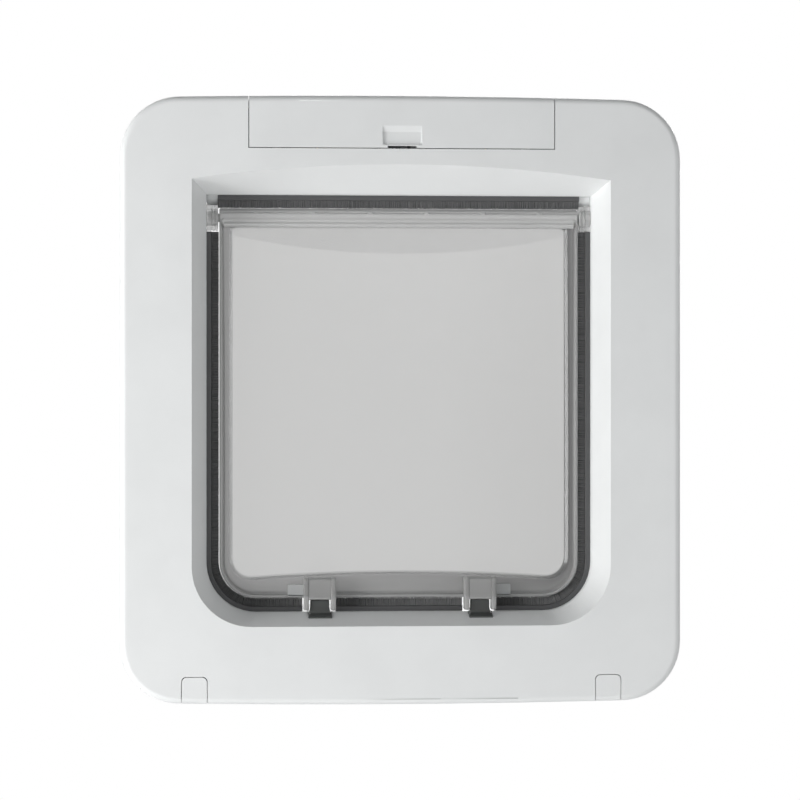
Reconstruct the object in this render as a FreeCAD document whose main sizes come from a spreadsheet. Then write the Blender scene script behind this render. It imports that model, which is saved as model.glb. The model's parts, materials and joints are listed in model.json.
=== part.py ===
import FreeCAD, Part
import Sketcher
import math
import os
import re

# Cat flap for a door, with a chip-reading lock. X runs to the right as seen from the room, Y runs from the
# room to the outdoors, and Z is up. The origin is the middle of the room-side frame, on the plane that lies
# against the door. All sizes are in millimetres.
sizes = {
    # Room-side frame
    "corner_round": 28,
    "edge_bow": 1,
    "wall": 2.5,
    "front_round": 3,
    "side_band": 31.3,
    "corner_room": 20,
    "foot_room": 0.8,
    # Tunnel through the door
    "tunnel_round": 23.4,
    "tunnel_wall": 2.5,
    "tunnel_reach": 36,
    "top_seal": 6.2,
    "side_seal": 6.1,
    "foot_seal": 6.5,
    # Scoop in front of the tunnel
    "mouth_room": 2.5,
    "scoop_side": 6.7,
    "scoop_rise": 6,
    "scoop_arch": 7,
    "scoop_fall": 5.5,
    "scoop_round": 28,
    "core_wall": 2,
    # Rear cover
    "rear_thickness": 2.5,
    "seat_gap": 0.3,
    # Flap and its hinge
    "flap_set": 7,
    "flap_width": 170.8,
    "flap_drop": 93.8,
    "flap_round": 17.3,
    "flap_depth": 9,
    "rim_width": 6.6,
    "rim_foot": 10.5,
    "window_round": 8,
    "panel": 2.5,
    "rim_lip": 1.3,
    "rim_groove": 3.2,
    "groove_depth": 2.6,
    "hinge_height": 86.5,
    "pin_radius": 2,
    "pin_length": 5.2,
    "pin_end": 0.15,
    "bush_height": 12,
    "bush_depth": 10,
    "run_gap": 0.05,
    "side_gap": 0.6,
    # Seals round the flap
    "brush_gap": 0.5,
    "channel_depth": 6,
    "channel_wall": 2.4,
    "bristle_depth": 3,
    # Catches, their guides and the pockets they rise into
    "catch_place": 38,
    "catch_width": 10,
    "catch_depth": 4.4,
    "catch_room": 0.3,
    "catch_rise": 8,
    "catch_gap": 0.2,
    "guide_wall": 0.9,
    "guide_cheek": 0.5,
    "guide_nose": 8.6,
    "nose_bevel": 1,
    "guide_lift": 0.5,
    "guide_fall": 8.7,
    "cheek_wall": 2,
    "cheek_lift": 1,
    "roof_gap": 0.8,
    "pocket_wall": 1.5,
    # Cam bar and pinion of the lock
    "bar_thickness": 3.5,
    "bar_over": 3.7,
    "bar_under": 4.75,
    "bar_travel": 14,
    "bar_end": 5,
    "bar_gap": 0.25,
    "cam_gap": 0.2,
    "cam_pin": 1.5,
    "cam_foot": 3,
    "tooth_module": 1,
    "pinion_teeth": 10,
    "shaft_radius": 1.5,
    "shaft_reach": 3,
    "motor_radius": 7.3,
    "motor_length": 11.8,
    "tray_wall": 2,
    "tray_drop": 9,
    "tray_rail": 13,
    "rail_lip": 1.2,
    # Magnets
    "magnet_space": 1,
    "magnet_width": 9,
    "magnet_height": 5.6,
    "magnet_depth": 3,
    "magnet_gap": 0.1,
    "magnet_lift": 0.6,
    # Battery bay
    "battery_width": 143,
    "battery_height": 24.6,
    "battery_return": 22,
    "seam": 0.4,
    "cell_diameter": 25.5,
    "cell_length": 49.4,
    "cell_start": 10,
    "cell_room": 4.8,
    "cell_play": 1.5,
    "cell_cap": 5.6,
    "cell_rise": 0.15,
    "finger_width": 18.5,
    "finger_height": 9,
    "finger_depth": 1,
    "finger_slope": 3,
    "finger_set": 1.4,
    "notch_width": 13.5,
    "notch_height": 1,
    "pod_width": 18.6,
    "pod_reach": 24,
    "pod_back": 12.3,
    "pod_screw_rise": 6.3,
    "shelf_rise": 12.3,
    "pod_rise": 13,
    "leaf_depth": 4.2,
    "leaf_metal": 0.4,
    "leaf_width": 12,
    "leaf_gap": 0.1,
    "stop_wall": 2,
    "button_place": 4.4,
    "button_rise": 7,
    "button_radius": 2.6,
    "button_travel": 1,
    "button_cap": 2.2,
    "switch_width": 6.4,
    "switch_depth": 4,
    "stem_radius": 1.5,
    # Screw covers and clamping screws
    "screw_inset": 34.5,
    "screw_rise": 8,
    "screw_radius": 2,
    "screw_gap": 0.3,
    "screw_boss": 6,
    "screw_head": 4.2,
    "head_height": 3,
    "driver_width": 1.2,
    "screw_seat": 8,
    "screw_bite": 10,
    "cap_width": 11.7,
    "cap_height": 13.3,
    "cap_round": 2.3,
    "cap_depth": 6,
    "cap_gap": 0.3,
    "plug_depth": 7,
    # Reader coil and main board
    "coil_groove": 4.2,
    "coil_depth": 10,
    "coil_gap": 0.3,
    "board_thickness": 1.6,
    "board_set": 11.3,
    "board_half": 45,
    "board_gap": 2.5,
    "post_radius": 3,
    # Outdoor frame
    "door_thickness": 40,
    "outer_depth": 16,
    "sleeve_gap": 0.5,
    "sleeve_reach": 36,
    "outer_mouth": 10,
    "outer_side": 5,
    "outer_rise": 4,
    "outer_arch": 5,
}

# Places that follow from the sizes, each in the words of the sheet.
places = {
    "tunnel_width": "flap_width + 2 * side_seal",
    "tunnel_top": "hinge_height + flap_depth / 2 + top_seal",
    "tunnel_drop": "flap_drop + foot_seal",
    "mouth_set": "flap_set + flap_depth / 2 + mouth_room",
    "core_side": "tunnel_width / 2 + scoop_side + core_wall",
    "core_top": "tunnel_top + scoop_rise + scoop_arch + core_wall",
    "core_drop": "tunnel_drop + scoop_fall + core_wall",
    "cell_end": "cell_start + 2 * cell_length",
    "frame_half": "max(core_side + side_band; cell_end + corner_room)",
    "frame_top": "core_top + cell_diameter + cell_room",
    "frame_foot": "axle_drop + motor_radius + wall + foot_room",
    "frame_depth": "cell_diameter + wall + rear_thickness + cell_play",
    "brush_top": "hinge_height - bush_height / 2 - 2 * run_gap",
    "catch_set": "flap_set + flap_depth / 2 + catch_depth / 2 + catch_room",
    "catch_top": "-flap_drop - brush_gap",
    "guide_half": "catch_width / 2 + catch_gap + guide_cheek",
    "guide_front": "-catch_set - catch_depth / 2 - catch_gap - guide_wall",
    "guide_back": "-catch_set + catch_depth / 2 + catch_gap + guide_wall",
    "guide_reach": "tunnel_drop + guide_fall",
    "cheek_drop": "tunnel_drop - cheek_lift",
    "bar_top": "guide_reach + seat_gap",
    "cam_drop": "bar_top + catch_rise + bar_over",
    "bar_drop": "cam_drop + bar_under",
    "bar_back": "-catch_set - catch_depth / 2 - brush_gap",
    "bar_front": "bar_back - bar_thickness",
    "dedendum": "1.15 * tooth_module",
    "addendum": "0.9 * tooth_module",
    "pitch_radius": "pinion_teeth * tooth_module / 2",
    "axle_drop": "bar_drop + dedendum + pitch_radius",
    "motor_front": "bar_back + seat_gap",
    "magnet_place": "catch_place + catch_width / 2 + magnet_width / 2 + magnet_space",
    "settings_back": "-pod_back - leaf_gap",
    "settings_front": "settings_back - board_thickness",
    "well_front": "settings_front - switch_depth",
    "screw_place": "frame_half - screw_inset",
    "screw_drop": "frame_foot - screw_rise",
    "screw_top": "core_top + pod_screw_rise",
    "pod_shelf": "core_top + shelf_rise",
    "pod_top": "pod_shelf + pod_rise",
    "button_height": "pod_shelf + button_rise",
    "board_start": "core_side + board_gap",
    "board_width": "frame_half - wall - core_side - 2 * board_gap",
    "board_front": "-board_set - board_thickness",
    "post_height": "2 * board_half / 3",
    "front_face": "-frame_depth",
    "flap_front": "-flap_set - flap_depth / 2",
    "skin_back": "-frame_depth + wall",
}

doc = FreeCAD.newDocument("cat_flap")
sheet = doc.addObject("Spreadsheet::Sheet", "sizes")
for row, (word, number) in enumerate(sizes.items(), start=1):
    sheet.set("A%d" % row, word)
    sheet.set("B%d" % row, str(number))
    sheet.setAlias("B%d" % row, word)
doc.recompute()

pieces = []


# A size in the plain words of the sheet and of the places, as the sheet's own expression.
def tied(text):
    def spelled(word):
        word = word.group(0)
        return "(%s)" % tied(places[word]) if word in places else "sizes." + word
    return re.sub(r"\b[a-z]\w*\b(?!\()", spelled, text)


def value(text):
    return float(sheet.evalExpression(tied(text)))


def name_piece(thing, label):
    thing.Label = label
    pieces.append(thing)
    return thing


# A block between two places along each axis.
def box(name, x, y, z):
    block = doc.addObject("Part::Box", name)
    for side, place, (start, end) in zip(("Length", "Width", "Height"), "xyz", (x, y, z)):
        block.setExpression("Placement.Base." + place, tied(start))
        block.setExpression(side, tied("(%s) - (%s)" % (end, start)))
    return block


turns = {
    "x": FreeCAD.Rotation(FreeCAD.Vector(0, 1, 0), 90),
    "y": FreeCAD.Rotation(FreeCAD.Vector(1, 0, 0), -90),
    "z": FreeCAD.Rotation(),
}


# A round bar along one axis; the centre gives the other two places in the order x, y, z.
def rod(name, axis, centre, radius, span):
    bar = doc.addObject("Part::Cylinder", name)
    bar.Placement.Rotation = turns[axis]
    places = dict(zip([letter for letter in "xyz" if letter != axis], centre))
    places[axis] = span[0]
    for letter, place in places.items():
        bar.setExpression("Placement.Base." + letter, tied(place))
    bar.setExpression("Radius", tied(radius))
    bar.setExpression("Height", tied("(%s) - (%s)" % (span[1], span[0])))
    return bar


# A straight-sided block: corners given in the other two axes, carried along one axis.
def prism(name, axis, corners, span):
    start, end = value(span[0]), value(span[1])
    if axis == "x":
        loop = [FreeCAD.Vector(start, y, z) for y, z in corners]
        way = FreeCAD.Vector(end - start, 0, 0)
    else:
        loop = [FreeCAD.Vector(x, start, z) for x, z in corners]
        way = FreeCAD.Vector(0, end - start, 0)
    block = doc.addObject("Part::Feature", name)
    block.Shape = Part.Face(Part.makePolygon(loop + loop[:1])).extrude(way)
    return block


def fuse(name, parts):
    whole = doc.addObject("Part::MultiFuse", name)
    whole.Shapes = parts
    whole.Refine = True
    return whole


def cut(name, base, tools):
    result = doc.addObject("Part::Cut", name)
    result.Base = base
    result.Tool = tools[0] if len(tools) == 1 else fuse(name + "_tools", tools)
    result.Refine = True
    return result


def common(name, base, tool):
    result = doc.addObject("Part::Common", name)
    result.Base = base
    result.Tool = tool
    result.Refine = True
    return result


# The span from an inner to an outer place, on the right (1) or on the left (-1).
def sided(sign, inner, outer):
    if sign > 0:
        return inner, outer
    return "-(%s)" % outer, "-(%s)" % inner


def around(middle, width):
    return "(%s) - (%s) / 2" % (middle, width), "(%s) + (%s) / 2" % (middle, width)


def signed(sign, text):
    return text if sign > 0 else "-(%s)" % text


sides = (("left", -1), ("right", 1))


# A sketch parallel to the door; ahead is its distance from the door plane towards the room.
def door_sketch(body, name, ahead):
    sketch = body.newObject("Sketcher::SketchObject", name)
    plane = [item for item in body.Origin.OriginFeatures if item.Role == "XZ_Plane"][0]
    sketch.AttachmentSupport = [(plane, "")]
    sketch.MapMode = "FlatFace"
    sketch.setExpression("AttachmentOffset.Base.z", tied(ahead))
    return sketch


# An upright loop about the middle of the frame: straight sides, rounded or sharp corners, and a top and
# bottom that are straight or bowed outwards. The edges run round it the same way each time.
def add_loop(sketch, half, top, drop, top_round=None, foot_round=None, top_bow=None, foot_bow=None):
    w, t, b = value(half), value(top), value(drop)
    rt = value(top_round) if top_round else 0
    rb = value(foot_round) if foot_round else 0
    start = sketch.ConstraintCount
    point = FreeCAD.Vector
    axis = point(0, 0, 1)

    def line(a, c):
        return sketch.addGeometry(Part.LineSegment(point(a[0], a[1]), point(c[0], c[1])))

    def arc(centre, radius, first, last):
        circle = Part.Circle(point(centre[0], centre[1]), axis, radius)
        return sketch.addGeometry(Part.ArcOfCircle(circle, math.radians(first), math.radians(last)))

    def bowed(reach, height, bow, turn):
        radius = (reach * reach + bow * bow) / (2 * bow)
        spread = math.degrees(math.asin(reach / radius))
        middle = height + (bow - radius) if turn == 90 else height + (radius - bow)
        return arc((0, middle), radius, turn - spread, turn + spread)

    right = line((w, -b + rb), (w, t - rt))
    order = [right]
    corners = []
    if rt:
        corner = arc((w - rt, t - rt), rt, 0, 90)
        corners.append((corner, 1, 2, top_round))
        order.append(corner)
    crown = bowed(w - rt, t, value(top_bow), 90) if top_bow else line((w - rt, t), (rt - w, t))
    order.append(crown)
    if rt:
        corner = arc((rt - w, t - rt), rt, 90, 180)
        corners.append((corner, 2, 1, top_round))
        order.append(corner)
    left = line((-w, t - rt), (-w, rb - b))
    order.append(left)
    if rb:
        corner = arc((rb - w, rb - b), rb, 180, 270)
        corners.append((corner, 1, 2, foot_round))
        order.append(corner)
    foot = bowed(w - rb, -b, value(foot_bow), 270) if foot_bow else line((rb - w, -b), (w - rb, -b))
    order.append(foot)
    if rb:
        corner = arc((w - rb, rb - b), rb, 270, 360)
        corners.append((corner, 2, 1, foot_round))
        order.append(corner)

    def bind(constraint, word, text):
        index = sketch.addConstraint(constraint)
        label = "%s_%d" % (word, start)
        sketch.renameConstraint(index, label)
        sketch.setExpression("Constraints." + label, tied(text))

    for edge, after in zip(order, order[1:] + order[:1]):
        sketch.addConstraint(Sketcher.Constraint("Coincident", edge, 2, after, 1))
    for upright in (right, left):
        sketch.addConstraint(Sketcher.Constraint("Vertical", upright))
    for number, (corner, side_end, flat_end, radius) in enumerate(corners):
        sketch.addConstraint(Sketcher.Constraint("Horizontal", corner, 3, corner, side_end))
        sketch.addConstraint(Sketcher.Constraint("Vertical", corner, 3, corner, flat_end))
        bind(Sketcher.Constraint("Radius", corner, value(radius)), "round%d" % number, radius)
    for edge, bow, radius in ((crown, top_bow, top_round), (foot, foot_bow, foot_round)):
        if not bow:
            sketch.addConstraint(Sketcher.Constraint("Horizontal", edge))
            continue
        reach = "((%s) - (%s))" % (half, radius or "0")
        bow_radius = "(%s * %s + (%s) * (%s)) / (2 * (%s))" % (reach, reach, bow, bow, bow)
        sketch.addConstraint(Sketcher.Constraint("Horizontal", edge, 1, edge, 2))
        bind(Sketcher.Constraint("Radius", edge, value(bow_radius)), "bow%d" % edge, bow_radius)
    bind(Sketcher.Constraint("DistanceX", -1, 1, right, 1, w), "right", half)
    bind(Sketcher.Constraint("DistanceX", left, 1, -1, 1, w), "left", half)
    bind(Sketcher.Constraint("DistanceY", -1, 1, crown, 1, t), "top", top)
    bind(Sketcher.Constraint("DistanceY", foot, 1, -1, 1, b), "drop", drop)


# The loops that the frames share, each grown or shrunk by a distance.
def outline(sketch, inset="0"):
    half = "frame_half - (%s)" % inset
    top = "frame_top - edge_bow - (%s)" % inset
    drop = "frame_foot - edge_bow - (%s)" % inset
    corner = "corner_round - (%s)" % inset
    add_loop(sketch, half, top, drop, corner, corner, "edge_bow", "edge_bow")


def tunnel_loop(sketch, grow="0"):
    half = "tunnel_width / 2 + (%s)" % grow
    top = "tunnel_top + (%s)" % grow
    drop = "tunnel_drop + (%s)" % grow
    add_loop(sketch, half, top, drop, None, "tunnel_round + (%s)" % grow)


def extrude(body, kind, name, sketch, length, turned=False):
    feature = body.newObject("PartDesign::" + kind, name)
    feature.Profile = sketch
    if length is None:
        feature.Type = "ThroughAll"
    else:
        feature.setExpression("Length", tied(length))
    feature.Reversed = turned
    doc.recompute()
    return feature


def loft_cut(body, name, first, second):
    scoop = body.newObject("PartDesign::SubtractiveLoft", name)
    scoop.Profile = first
    scoop.Sections = [second]
    scoop.Ruled = True
    doc.recompute()
    return scoop


# Rounds or bevels the outer edges that lie on one plane parallel to the door.
def finish_edges_at(body, kind, name, y, size):
    place = value(y)
    base = body.Tip
    flat = []
    for number, edge in enumerate(base.Shape.Edges, start=1):
        if all(abs(corner.Point.y - place) < 0.001 for corner in edge.Vertexes):
            flat.append("Edge%d" % number)
    finish = body.newObject("PartDesign::" + kind, name)
    finish.Base = (base, flat)
    finish.setExpression("Radius" if kind == "Fillet" else "Size", tied(size))
    doc.recompute()
    return finish


# The room-side moulding before its openings are cut: the face with its side walls, the core round the
# scoop, the tunnel through the door, the seat for the rear cover and the groove for the reader's coil.
def make_frame_shell():
    body = doc.addObject("PartDesign::Body", "frame_shell")
    face = door_sketch(body, "face_outline", "0")
    outline(face)
    extrude(body, "Pad", "face_block", face, "frame_depth")
    finish_edges_at(body, "Fillet", "face_rounding", "-frame_depth", "front_round")
    seat = door_sketch(body, "cover_seat_outline", "0")
    outline(seat, "wall")
    tunnel_loop(seat, "tunnel_wall")
    extrude(body, "Pocket", "cover_seat", seat, "rear_thickness", True)
    hollow = door_sketch(body, "hollow_outline", "0")
    outline(hollow, "wall")
    add_loop(hollow, "core_side", "core_top", "core_drop", None, "scoop_round + core_wall")
    extrude(body, "Pocket", "hollow", hollow, "frame_depth - wall", True)
    groove = door_sketch(body, "coil_groove_outline", "0")
    tunnel_loop(groove, "tunnel_wall + coil_groove")
    tunnel_loop(groove, "tunnel_wall")
    extrude(body, "Pocket", "coil_groove", groove, "coil_depth", True)
    tube = door_sketch(body, "tunnel_outline", "0")
    tunnel_loop(tube, "tunnel_wall")
    extrude(body, "Pad", "tunnel", tube, "tunnel_reach", True)
    front = door_sketch(body, "scoop_outline", "frame_depth")
    half = "tunnel_width / 2 + scoop_side"
    top = "tunnel_top + scoop_rise"
    add_loop(front, half, top, "tunnel_drop + scoop_fall", None, "scoop_round", "scoop_arch")
    mouth = door_sketch(body, "mouth_outline", "mouth_set")
    tunnel_loop(mouth)
    loft_cut(body, "scoop", front, mouth)
    way = door_sketch(body, "way_outline", "mouth_set")
    tunnel_loop(way)
    extrude(body, "Pocket", "way_through", way, None)
    return body


clamp_places = (("-screw_place", "-screw_drop"), ("screw_place", "-screw_drop"), ("0", "screw_top"))
screw_hole = "screw_radius + screw_gap"
beyond = "2 * wall"


# The opening in the face and top wall that the battery cover closes, larger by a seam on each side.
def battery_block(name, gap):
    depth = ("front_face - %s" % beyond, "front_face + battery_return + (%s)" % gap)
    height = ("frame_top - battery_height - (%s)" % gap, "frame_top + " + beyond)
    return box(name, around("0", "battery_width + 2 * (%s)" % gap), depth, height)


# The place of a screw cover: a block with rounded upper corners that runs out at the lower edge.
def cap_block(name, x, gap):
    width = around(x, "cap_width + 2 * (%s)" % gap)
    depth = ("front_face - %s" % beyond, "front_face + cap_depth + (%s)" % gap)
    height = ("-frame_foot - %s" % beyond, "-frame_foot + cap_height + (%s)" % gap)
    block = box(name + "_block", width, depth, height)
    doc.recompute()
    high = block.Shape.BoundBox.ZMax
    rounded = doc.addObject("Part::Fillet", name)
    rounded.Base = block
    edges = []
    for number, edge in enumerate(block.Shape.Edges, start=1):
        ends = [corner.Point for corner in edge.Vertexes]
        if abs(ends[0].y - ends[1].y) > 1 and all(abs(end.z - high) < 0.001 for end in ends):
            edges.append((number, value("cap_round"), value("cap_round")))
    rounded.Edges = edges
    return rounded


def make_room_frame(shell):
    back = "-rear_thickness"
    added = [cut("open_shell", shell, [battery_block("battery_opening", "seam")])]
    for number, (x, z) in enumerate(clamp_places[:2]):
        added.append(rod("clamp_boss%d" % number, "y", (x, z), "screw_boss", ("skin_back", back)))
    pod = around("0", "pod_width")
    low = "core_top - core_wall / 2"
    added.append(box("pod_shelf", pod, ("-pod_reach", back), (low, "pod_shelf")))
    added.append(box("pod_wall", pod, ("-pod_back", back), (low, "pod_top")))
    for side, sign in sides:
        inner = "cell_end + leaf_depth + 2 * leaf_gap"
        stop = sided(sign, inner, inner + " + stop_wall")
        added.append(box("cell_stop_" + side, stop, ("skin_back", back), (low, "pod_shelf")))
    for number, z in enumerate(("-post_height", "post_height")):
        place = ("board_start + board_width / 2", z)
        added.append(rod("board_post%d" % number, "y", place, "post_radius", ("skin_back", "board_front")))
    taken = []
    for side, sign in sides:
        place = signed(sign, "screw_place")
        taken.append(cap_block("cap_opening_" + side, place, "cap_gap"))
        bore = ("front_face", "-screw_seat")
        taken.append(rod("cap_bore_" + side, "y", (place, "-screw_drop"), "screw_head + screw_gap", bore))
        slot = around(signed(sign, "catch_place"), "2 * guide_half + catch_gap")
        depth = ("guide_front - catch_gap / 2", "guide_back + catch_gap / 2")
        taken.append(box("catch_slot_" + side, slot, depth, ("-core_drop - 1", "-tunnel_drop + tunnel_wall")))
        magnet = around(signed(sign, "magnet_place"), "magnet_width - 8 * magnet_gap")
        depth = ("-mouth_set + 3 * magnet_gap", "-coil_depth - 5 * magnet_gap")
        height = ("-core_drop - core_wall / 2", "-tunnel_drop - 15 * magnet_gap")
        taken.append(box("magnet_slot_" + side, magnet, depth, height))
    bore = ("-pod_reach - wall", "-screw_seat")
    taken.append(rod("pod_bore", "y", ("0", "screw_top"), "screw_head + screw_gap", bore))
    for number, (x, z) in enumerate(clamp_places):
        taken.append(rod("clamp_hole%d" % number, "y", (x, z), screw_hole, ("-screw_seat - wall", "wall")))
    return cut("room_frame", fuse("room_frame_body", added), taken)


# The flat cover that closes the moulding, held in its seat by the door and the clamping screws.
def make_rear_cover():
    body = doc.addObject("PartDesign::Body", "rear_plate")
    sketch = door_sketch(body, "rear_outline", "0")
    outline(sketch, "wall + seat_gap")
    tunnel_loop(sketch, "tunnel_wall + seat_gap")
    extrude(body, "Pad", "rear_pad", sketch, "rear_thickness")
    taken = []
    through = ("-2 * rear_thickness", "rear_thickness")
    for number, (x, z) in enumerate(clamp_places):
        taken.append(rod("rear_clamp%d" % number, "y", (x, z), screw_hole, through))
    return cut("rear_cover", body, taken)


# Long pan-head screws that draw the two frames together through the door.
def make_clamp_screws():
    parts = []
    seat = "-screw_seat"
    slot = ("-screw_seat - 2 * head_height", "-screw_seat - head_height / 2")
    for number, (x, z) in enumerate(clamp_places):
        head = rod("clamp_head%d" % number, "y", (x, z), "screw_head", ("-screw_seat - head_height", seat))
        driver = box("clamp_slot%d" % number, around(x, "3 * screw_head"), slot, around(z, "driver_width"))
        parts.append(cut("clamp_top%d" % number, head, [driver]))
        shank = ("-screw_seat - head_height / 4", "door_thickness + screw_bite")
        parts.append(rod("clamp_shank%d" % number, "y", (x, z), "screw_radius", shank))
    return fuse("clamp_screws", parts)


# The cover over the cells: a piece of the same moulding, with a recess for a finger that slopes in from its
# upper end, and a slot at its lower edge.
def make_battery_cover(shell):
    skin = common("battery_cover_skin", shell, battery_block("battery_cover_block", "0"))
    front = value("front_face")
    deep = value("front_face + finger_depth")
    foot = value("frame_top - battery_height + finger_set")
    top = foot + value("finger_height")
    slope = top - value("finger_slope")
    ahead = front - value(beyond)
    profile = ((ahead, foot), (deep, foot), (deep, slope), (front, top), (ahead, top))
    finger = prism("finger_recess", "x", profile, around("0", "finger_width"))
    low = ("frame_top - battery_height - wall", "frame_top - battery_height + notch_height")
    depth = ("front_face - wall", "skin_back + wall / 2")
    notch = box("finger_notch", around("0", "notch_width"), depth, low)
    return cut("battery_cover", skin, [finger, notch])


def make_screw_cap(shell, side, sign):
    place = signed(sign, "screw_place")
    skin = common("cap_skin_" + side, shell, cap_block("cap_block_" + side, place, "0"))
    depth = ("front_face + wall / 2", "skin_back + plug_depth")
    plug = rod("cap_plug_" + side, "y", (place, "-screw_drop"), "screw_head", depth)
    return fuse("screw_cover_" + side, [skin, plug])


# The clear flap: a thick rim round a thin panel, and a round hinge barrel with a pin at each end.
def make_flap():
    body = doc.addObject("PartDesign::Body", "flap_panel")
    back = "flap_set - flap_depth / 2"
    front = "flap_set + flap_depth / 2"
    rim = door_sketch(body, "flap_outline", back)
    add_loop(rim, "flap_width / 2", "hinge_height", "flap_drop", None, "flap_round")
    extrude(body, "Pad", "flap_block", rim, "flap_depth")
    for name, ahead, turned in (("front", front, False), ("back", back, True)):
        window = door_sketch(body, name + "_window_outline", ahead)
        half = "flap_width / 2 - rim_width"
        top = "hinge_height - flap_depth / 2"
        add_loop(window, half, top, "flap_drop - rim_foot", "window_round / 2", "window_round")
        extrude(body, "Pocket", name + "_window", window, "(flap_depth - panel) / 2", turned)
    place = ("-flap_set", "hinge_height")
    half = "flap_width / 2"
    barrel = rod("hinge_barrel", "x", place, "flap_depth / 2", ("-" + half, half))
    pins = rod("hinge_pins", "x", place, "pin_radius", ("-%s - pin_length" % half, half + " + pin_length"))
    taken = []
    for side, sign in sides:
        groove = sided(sign, half + " - rim_lip - rim_groove", half + " - rim_lip")
        depth = ("flap_front - panel", "flap_front + groove_depth")
        height = ("-flap_drop + flap_round", "hinge_height - flap_depth / 2 - rim_lip")
        taken.append(box("rim_groove_" + side, groove, depth, height))
        seat = around(signed(sign, "magnet_place"), "magnet_width + 2 * magnet_gap")
        depth = ("flap_front - panel", "flap_front + magnet_depth + magnet_gap")
        low = "-flap_drop + magnet_lift"
        height = (low + " - magnet_gap", low + " + magnet_height + magnet_gap")
        taken.append(box("flap_magnet_seat_" + side, seat, depth, height))
    return cut("flap", fuse("flap_body", [body, barrel, pins]), taken)


# A clear pocket on the room side of the flap's foot, open below and behind, that a catch rises into.
def make_catch_pocket(side, sign):
    place = signed(sign, "catch_place")
    inner = around(place, "catch_width + 2 * side_gap")
    outer = around(place, "catch_width + 2 * side_gap + 2 * cheek_wall")
    front_wall = "-catch_set - catch_depth / 2 - brush_gap"
    front = front_wall + " - pocket_wall"
    back = "flap_front + pocket_wall"
    roof = "catch_top + catch_rise + roof_gap"
    low = "-cheek_drop - pocket_wall"
    height = ("-cheek_drop", roof + " + pocket_wall")
    block = box("pocket_block_" + side, outer, (front, "flap_front"), height)
    hollow = box("pocket_hollow_" + side, inner, (front_wall, back), (low, roof))
    foot = box("pocket_foot_" + side, inner, (front + " - wall", back), (low, "-flap_drop + magnet_gap"))
    return cut("catch_pocket_" + side, block, [hollow, foot])


def make_flap_magnet(side, sign):
    low = "-flap_drop + magnet_lift"
    return box("flap_magnet_block_" + side, around(signed(sign, "magnet_place"), "magnet_width"),
               ("flap_front", "flap_front + magnet_depth"), (low, low + " + magnet_height"))


def make_sill_magnet(side, sign):
    width = around(signed(sign, "magnet_place"), "magnet_width - 10 * magnet_gap")
    top = "-tunnel_drop - 16 * magnet_gap"
    depth = ("-mouth_set + 4 * magnet_gap", "-coil_depth - 6 * magnet_gap")
    return box("sill_magnet_block_" + side, width, depth, (top + " - magnet_height", top))


# The bush that carries one hinge pin against the side of the tunnel.
def make_hinge_bush(side, sign):
    half = "flap_width / 2"
    width = sided(sign, half + " + side_gap", "tunnel_width / 2")
    height = around("hinge_height", "bush_height")
    block = box("bush_block_" + side, width, around("-flap_set", "bush_depth"), height)
    bore = rod("bush_bore_" + side, "x", ("-flap_set", "hinge_height"), "pin_radius + run_gap",
               sided(sign, half, half + " + pin_length + pin_end"))
    return cut("hinge_bush_" + side, block, [bore])


# A ring in the plane of the flap, open at the top, from the tunnel wall in to a given loop.
def seal_ring(name, depth, half, drop, foot_round):
    body = doc.addObject("PartDesign::Body", name)
    outer = door_sketch(body, name + "_outline", "flap_set - (%s) / 2" % depth)
    add_loop(outer, "tunnel_width / 2", "brush_top", "tunnel_drop", None, "tunnel_round")
    extrude(body, "Pad", name + "_block", outer, depth)
    inner = door_sketch(body, name + "_inner", "flap_set - (%s) / 2" % depth)
    add_loop(inner, half, "brush_top + channel_depth", drop, None, foot_round)
    extrude(body, "Pocket", name + "_hollow", inner, "2 * (%s)" % depth, True)
    return body


# The brush seal: a holder against the tunnel wall with bristles that end just short of the flap, in three
# lengths that leave room for the catches.
def make_seals():
    holder = seal_ring("seal_holder", "channel_depth", "tunnel_width / 2 - channel_wall",
                       "tunnel_drop - channel_wall", "tunnel_round - channel_wall")
    half, drop, corner = [size + " + brush_gap" for size in ("flap_width / 2", "flap_drop", "flap_round")]
    bristle = seal_ring("seal_bristle", "bristle_depth", half, drop, corner)
    ring = fuse("seal_whole", [holder, bristle])
    notch = "catch_width / 2 + side_gap + 1.5 * cheek_wall"
    depth = ("-flap_set - channel_depth", "0")
    height = ("-tunnel_drop - channel_wall", "brush_top + channel_wall")
    middle = "catch_place - (%s)" % notch
    sill = common("seal_sill", ring, box("seal_sill_place", ("-(%s)" % middle, middle), depth, height))
    name_piece(sill, "sill_brush")
    for side, sign in sides:
        outer = sided(sign, "catch_place + %s" % notch, "tunnel_width / 2 + channel_wall")
        part = common("seal_" + side, ring, box("seal_place_" + side, outer, depth, height))
        name_piece(part, "brush_" + side)


def make_top_brush():
    width = ("-flap_width / 2", "flap_width / 2")
    low = "hinge_height + flap_depth / 2 + brush_gap"
    top = ("tunnel_top - channel_wall", "tunnel_top")
    holder = box("top_holder", width, around("-flap_set", "channel_depth"), top)
    height = (low, "tunnel_top - channel_wall / 2")
    bristle = box("top_bristle", width, around("-flap_set", "bristle_depth"), height)
    return fuse("top_brush", [holder, bristle])


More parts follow.
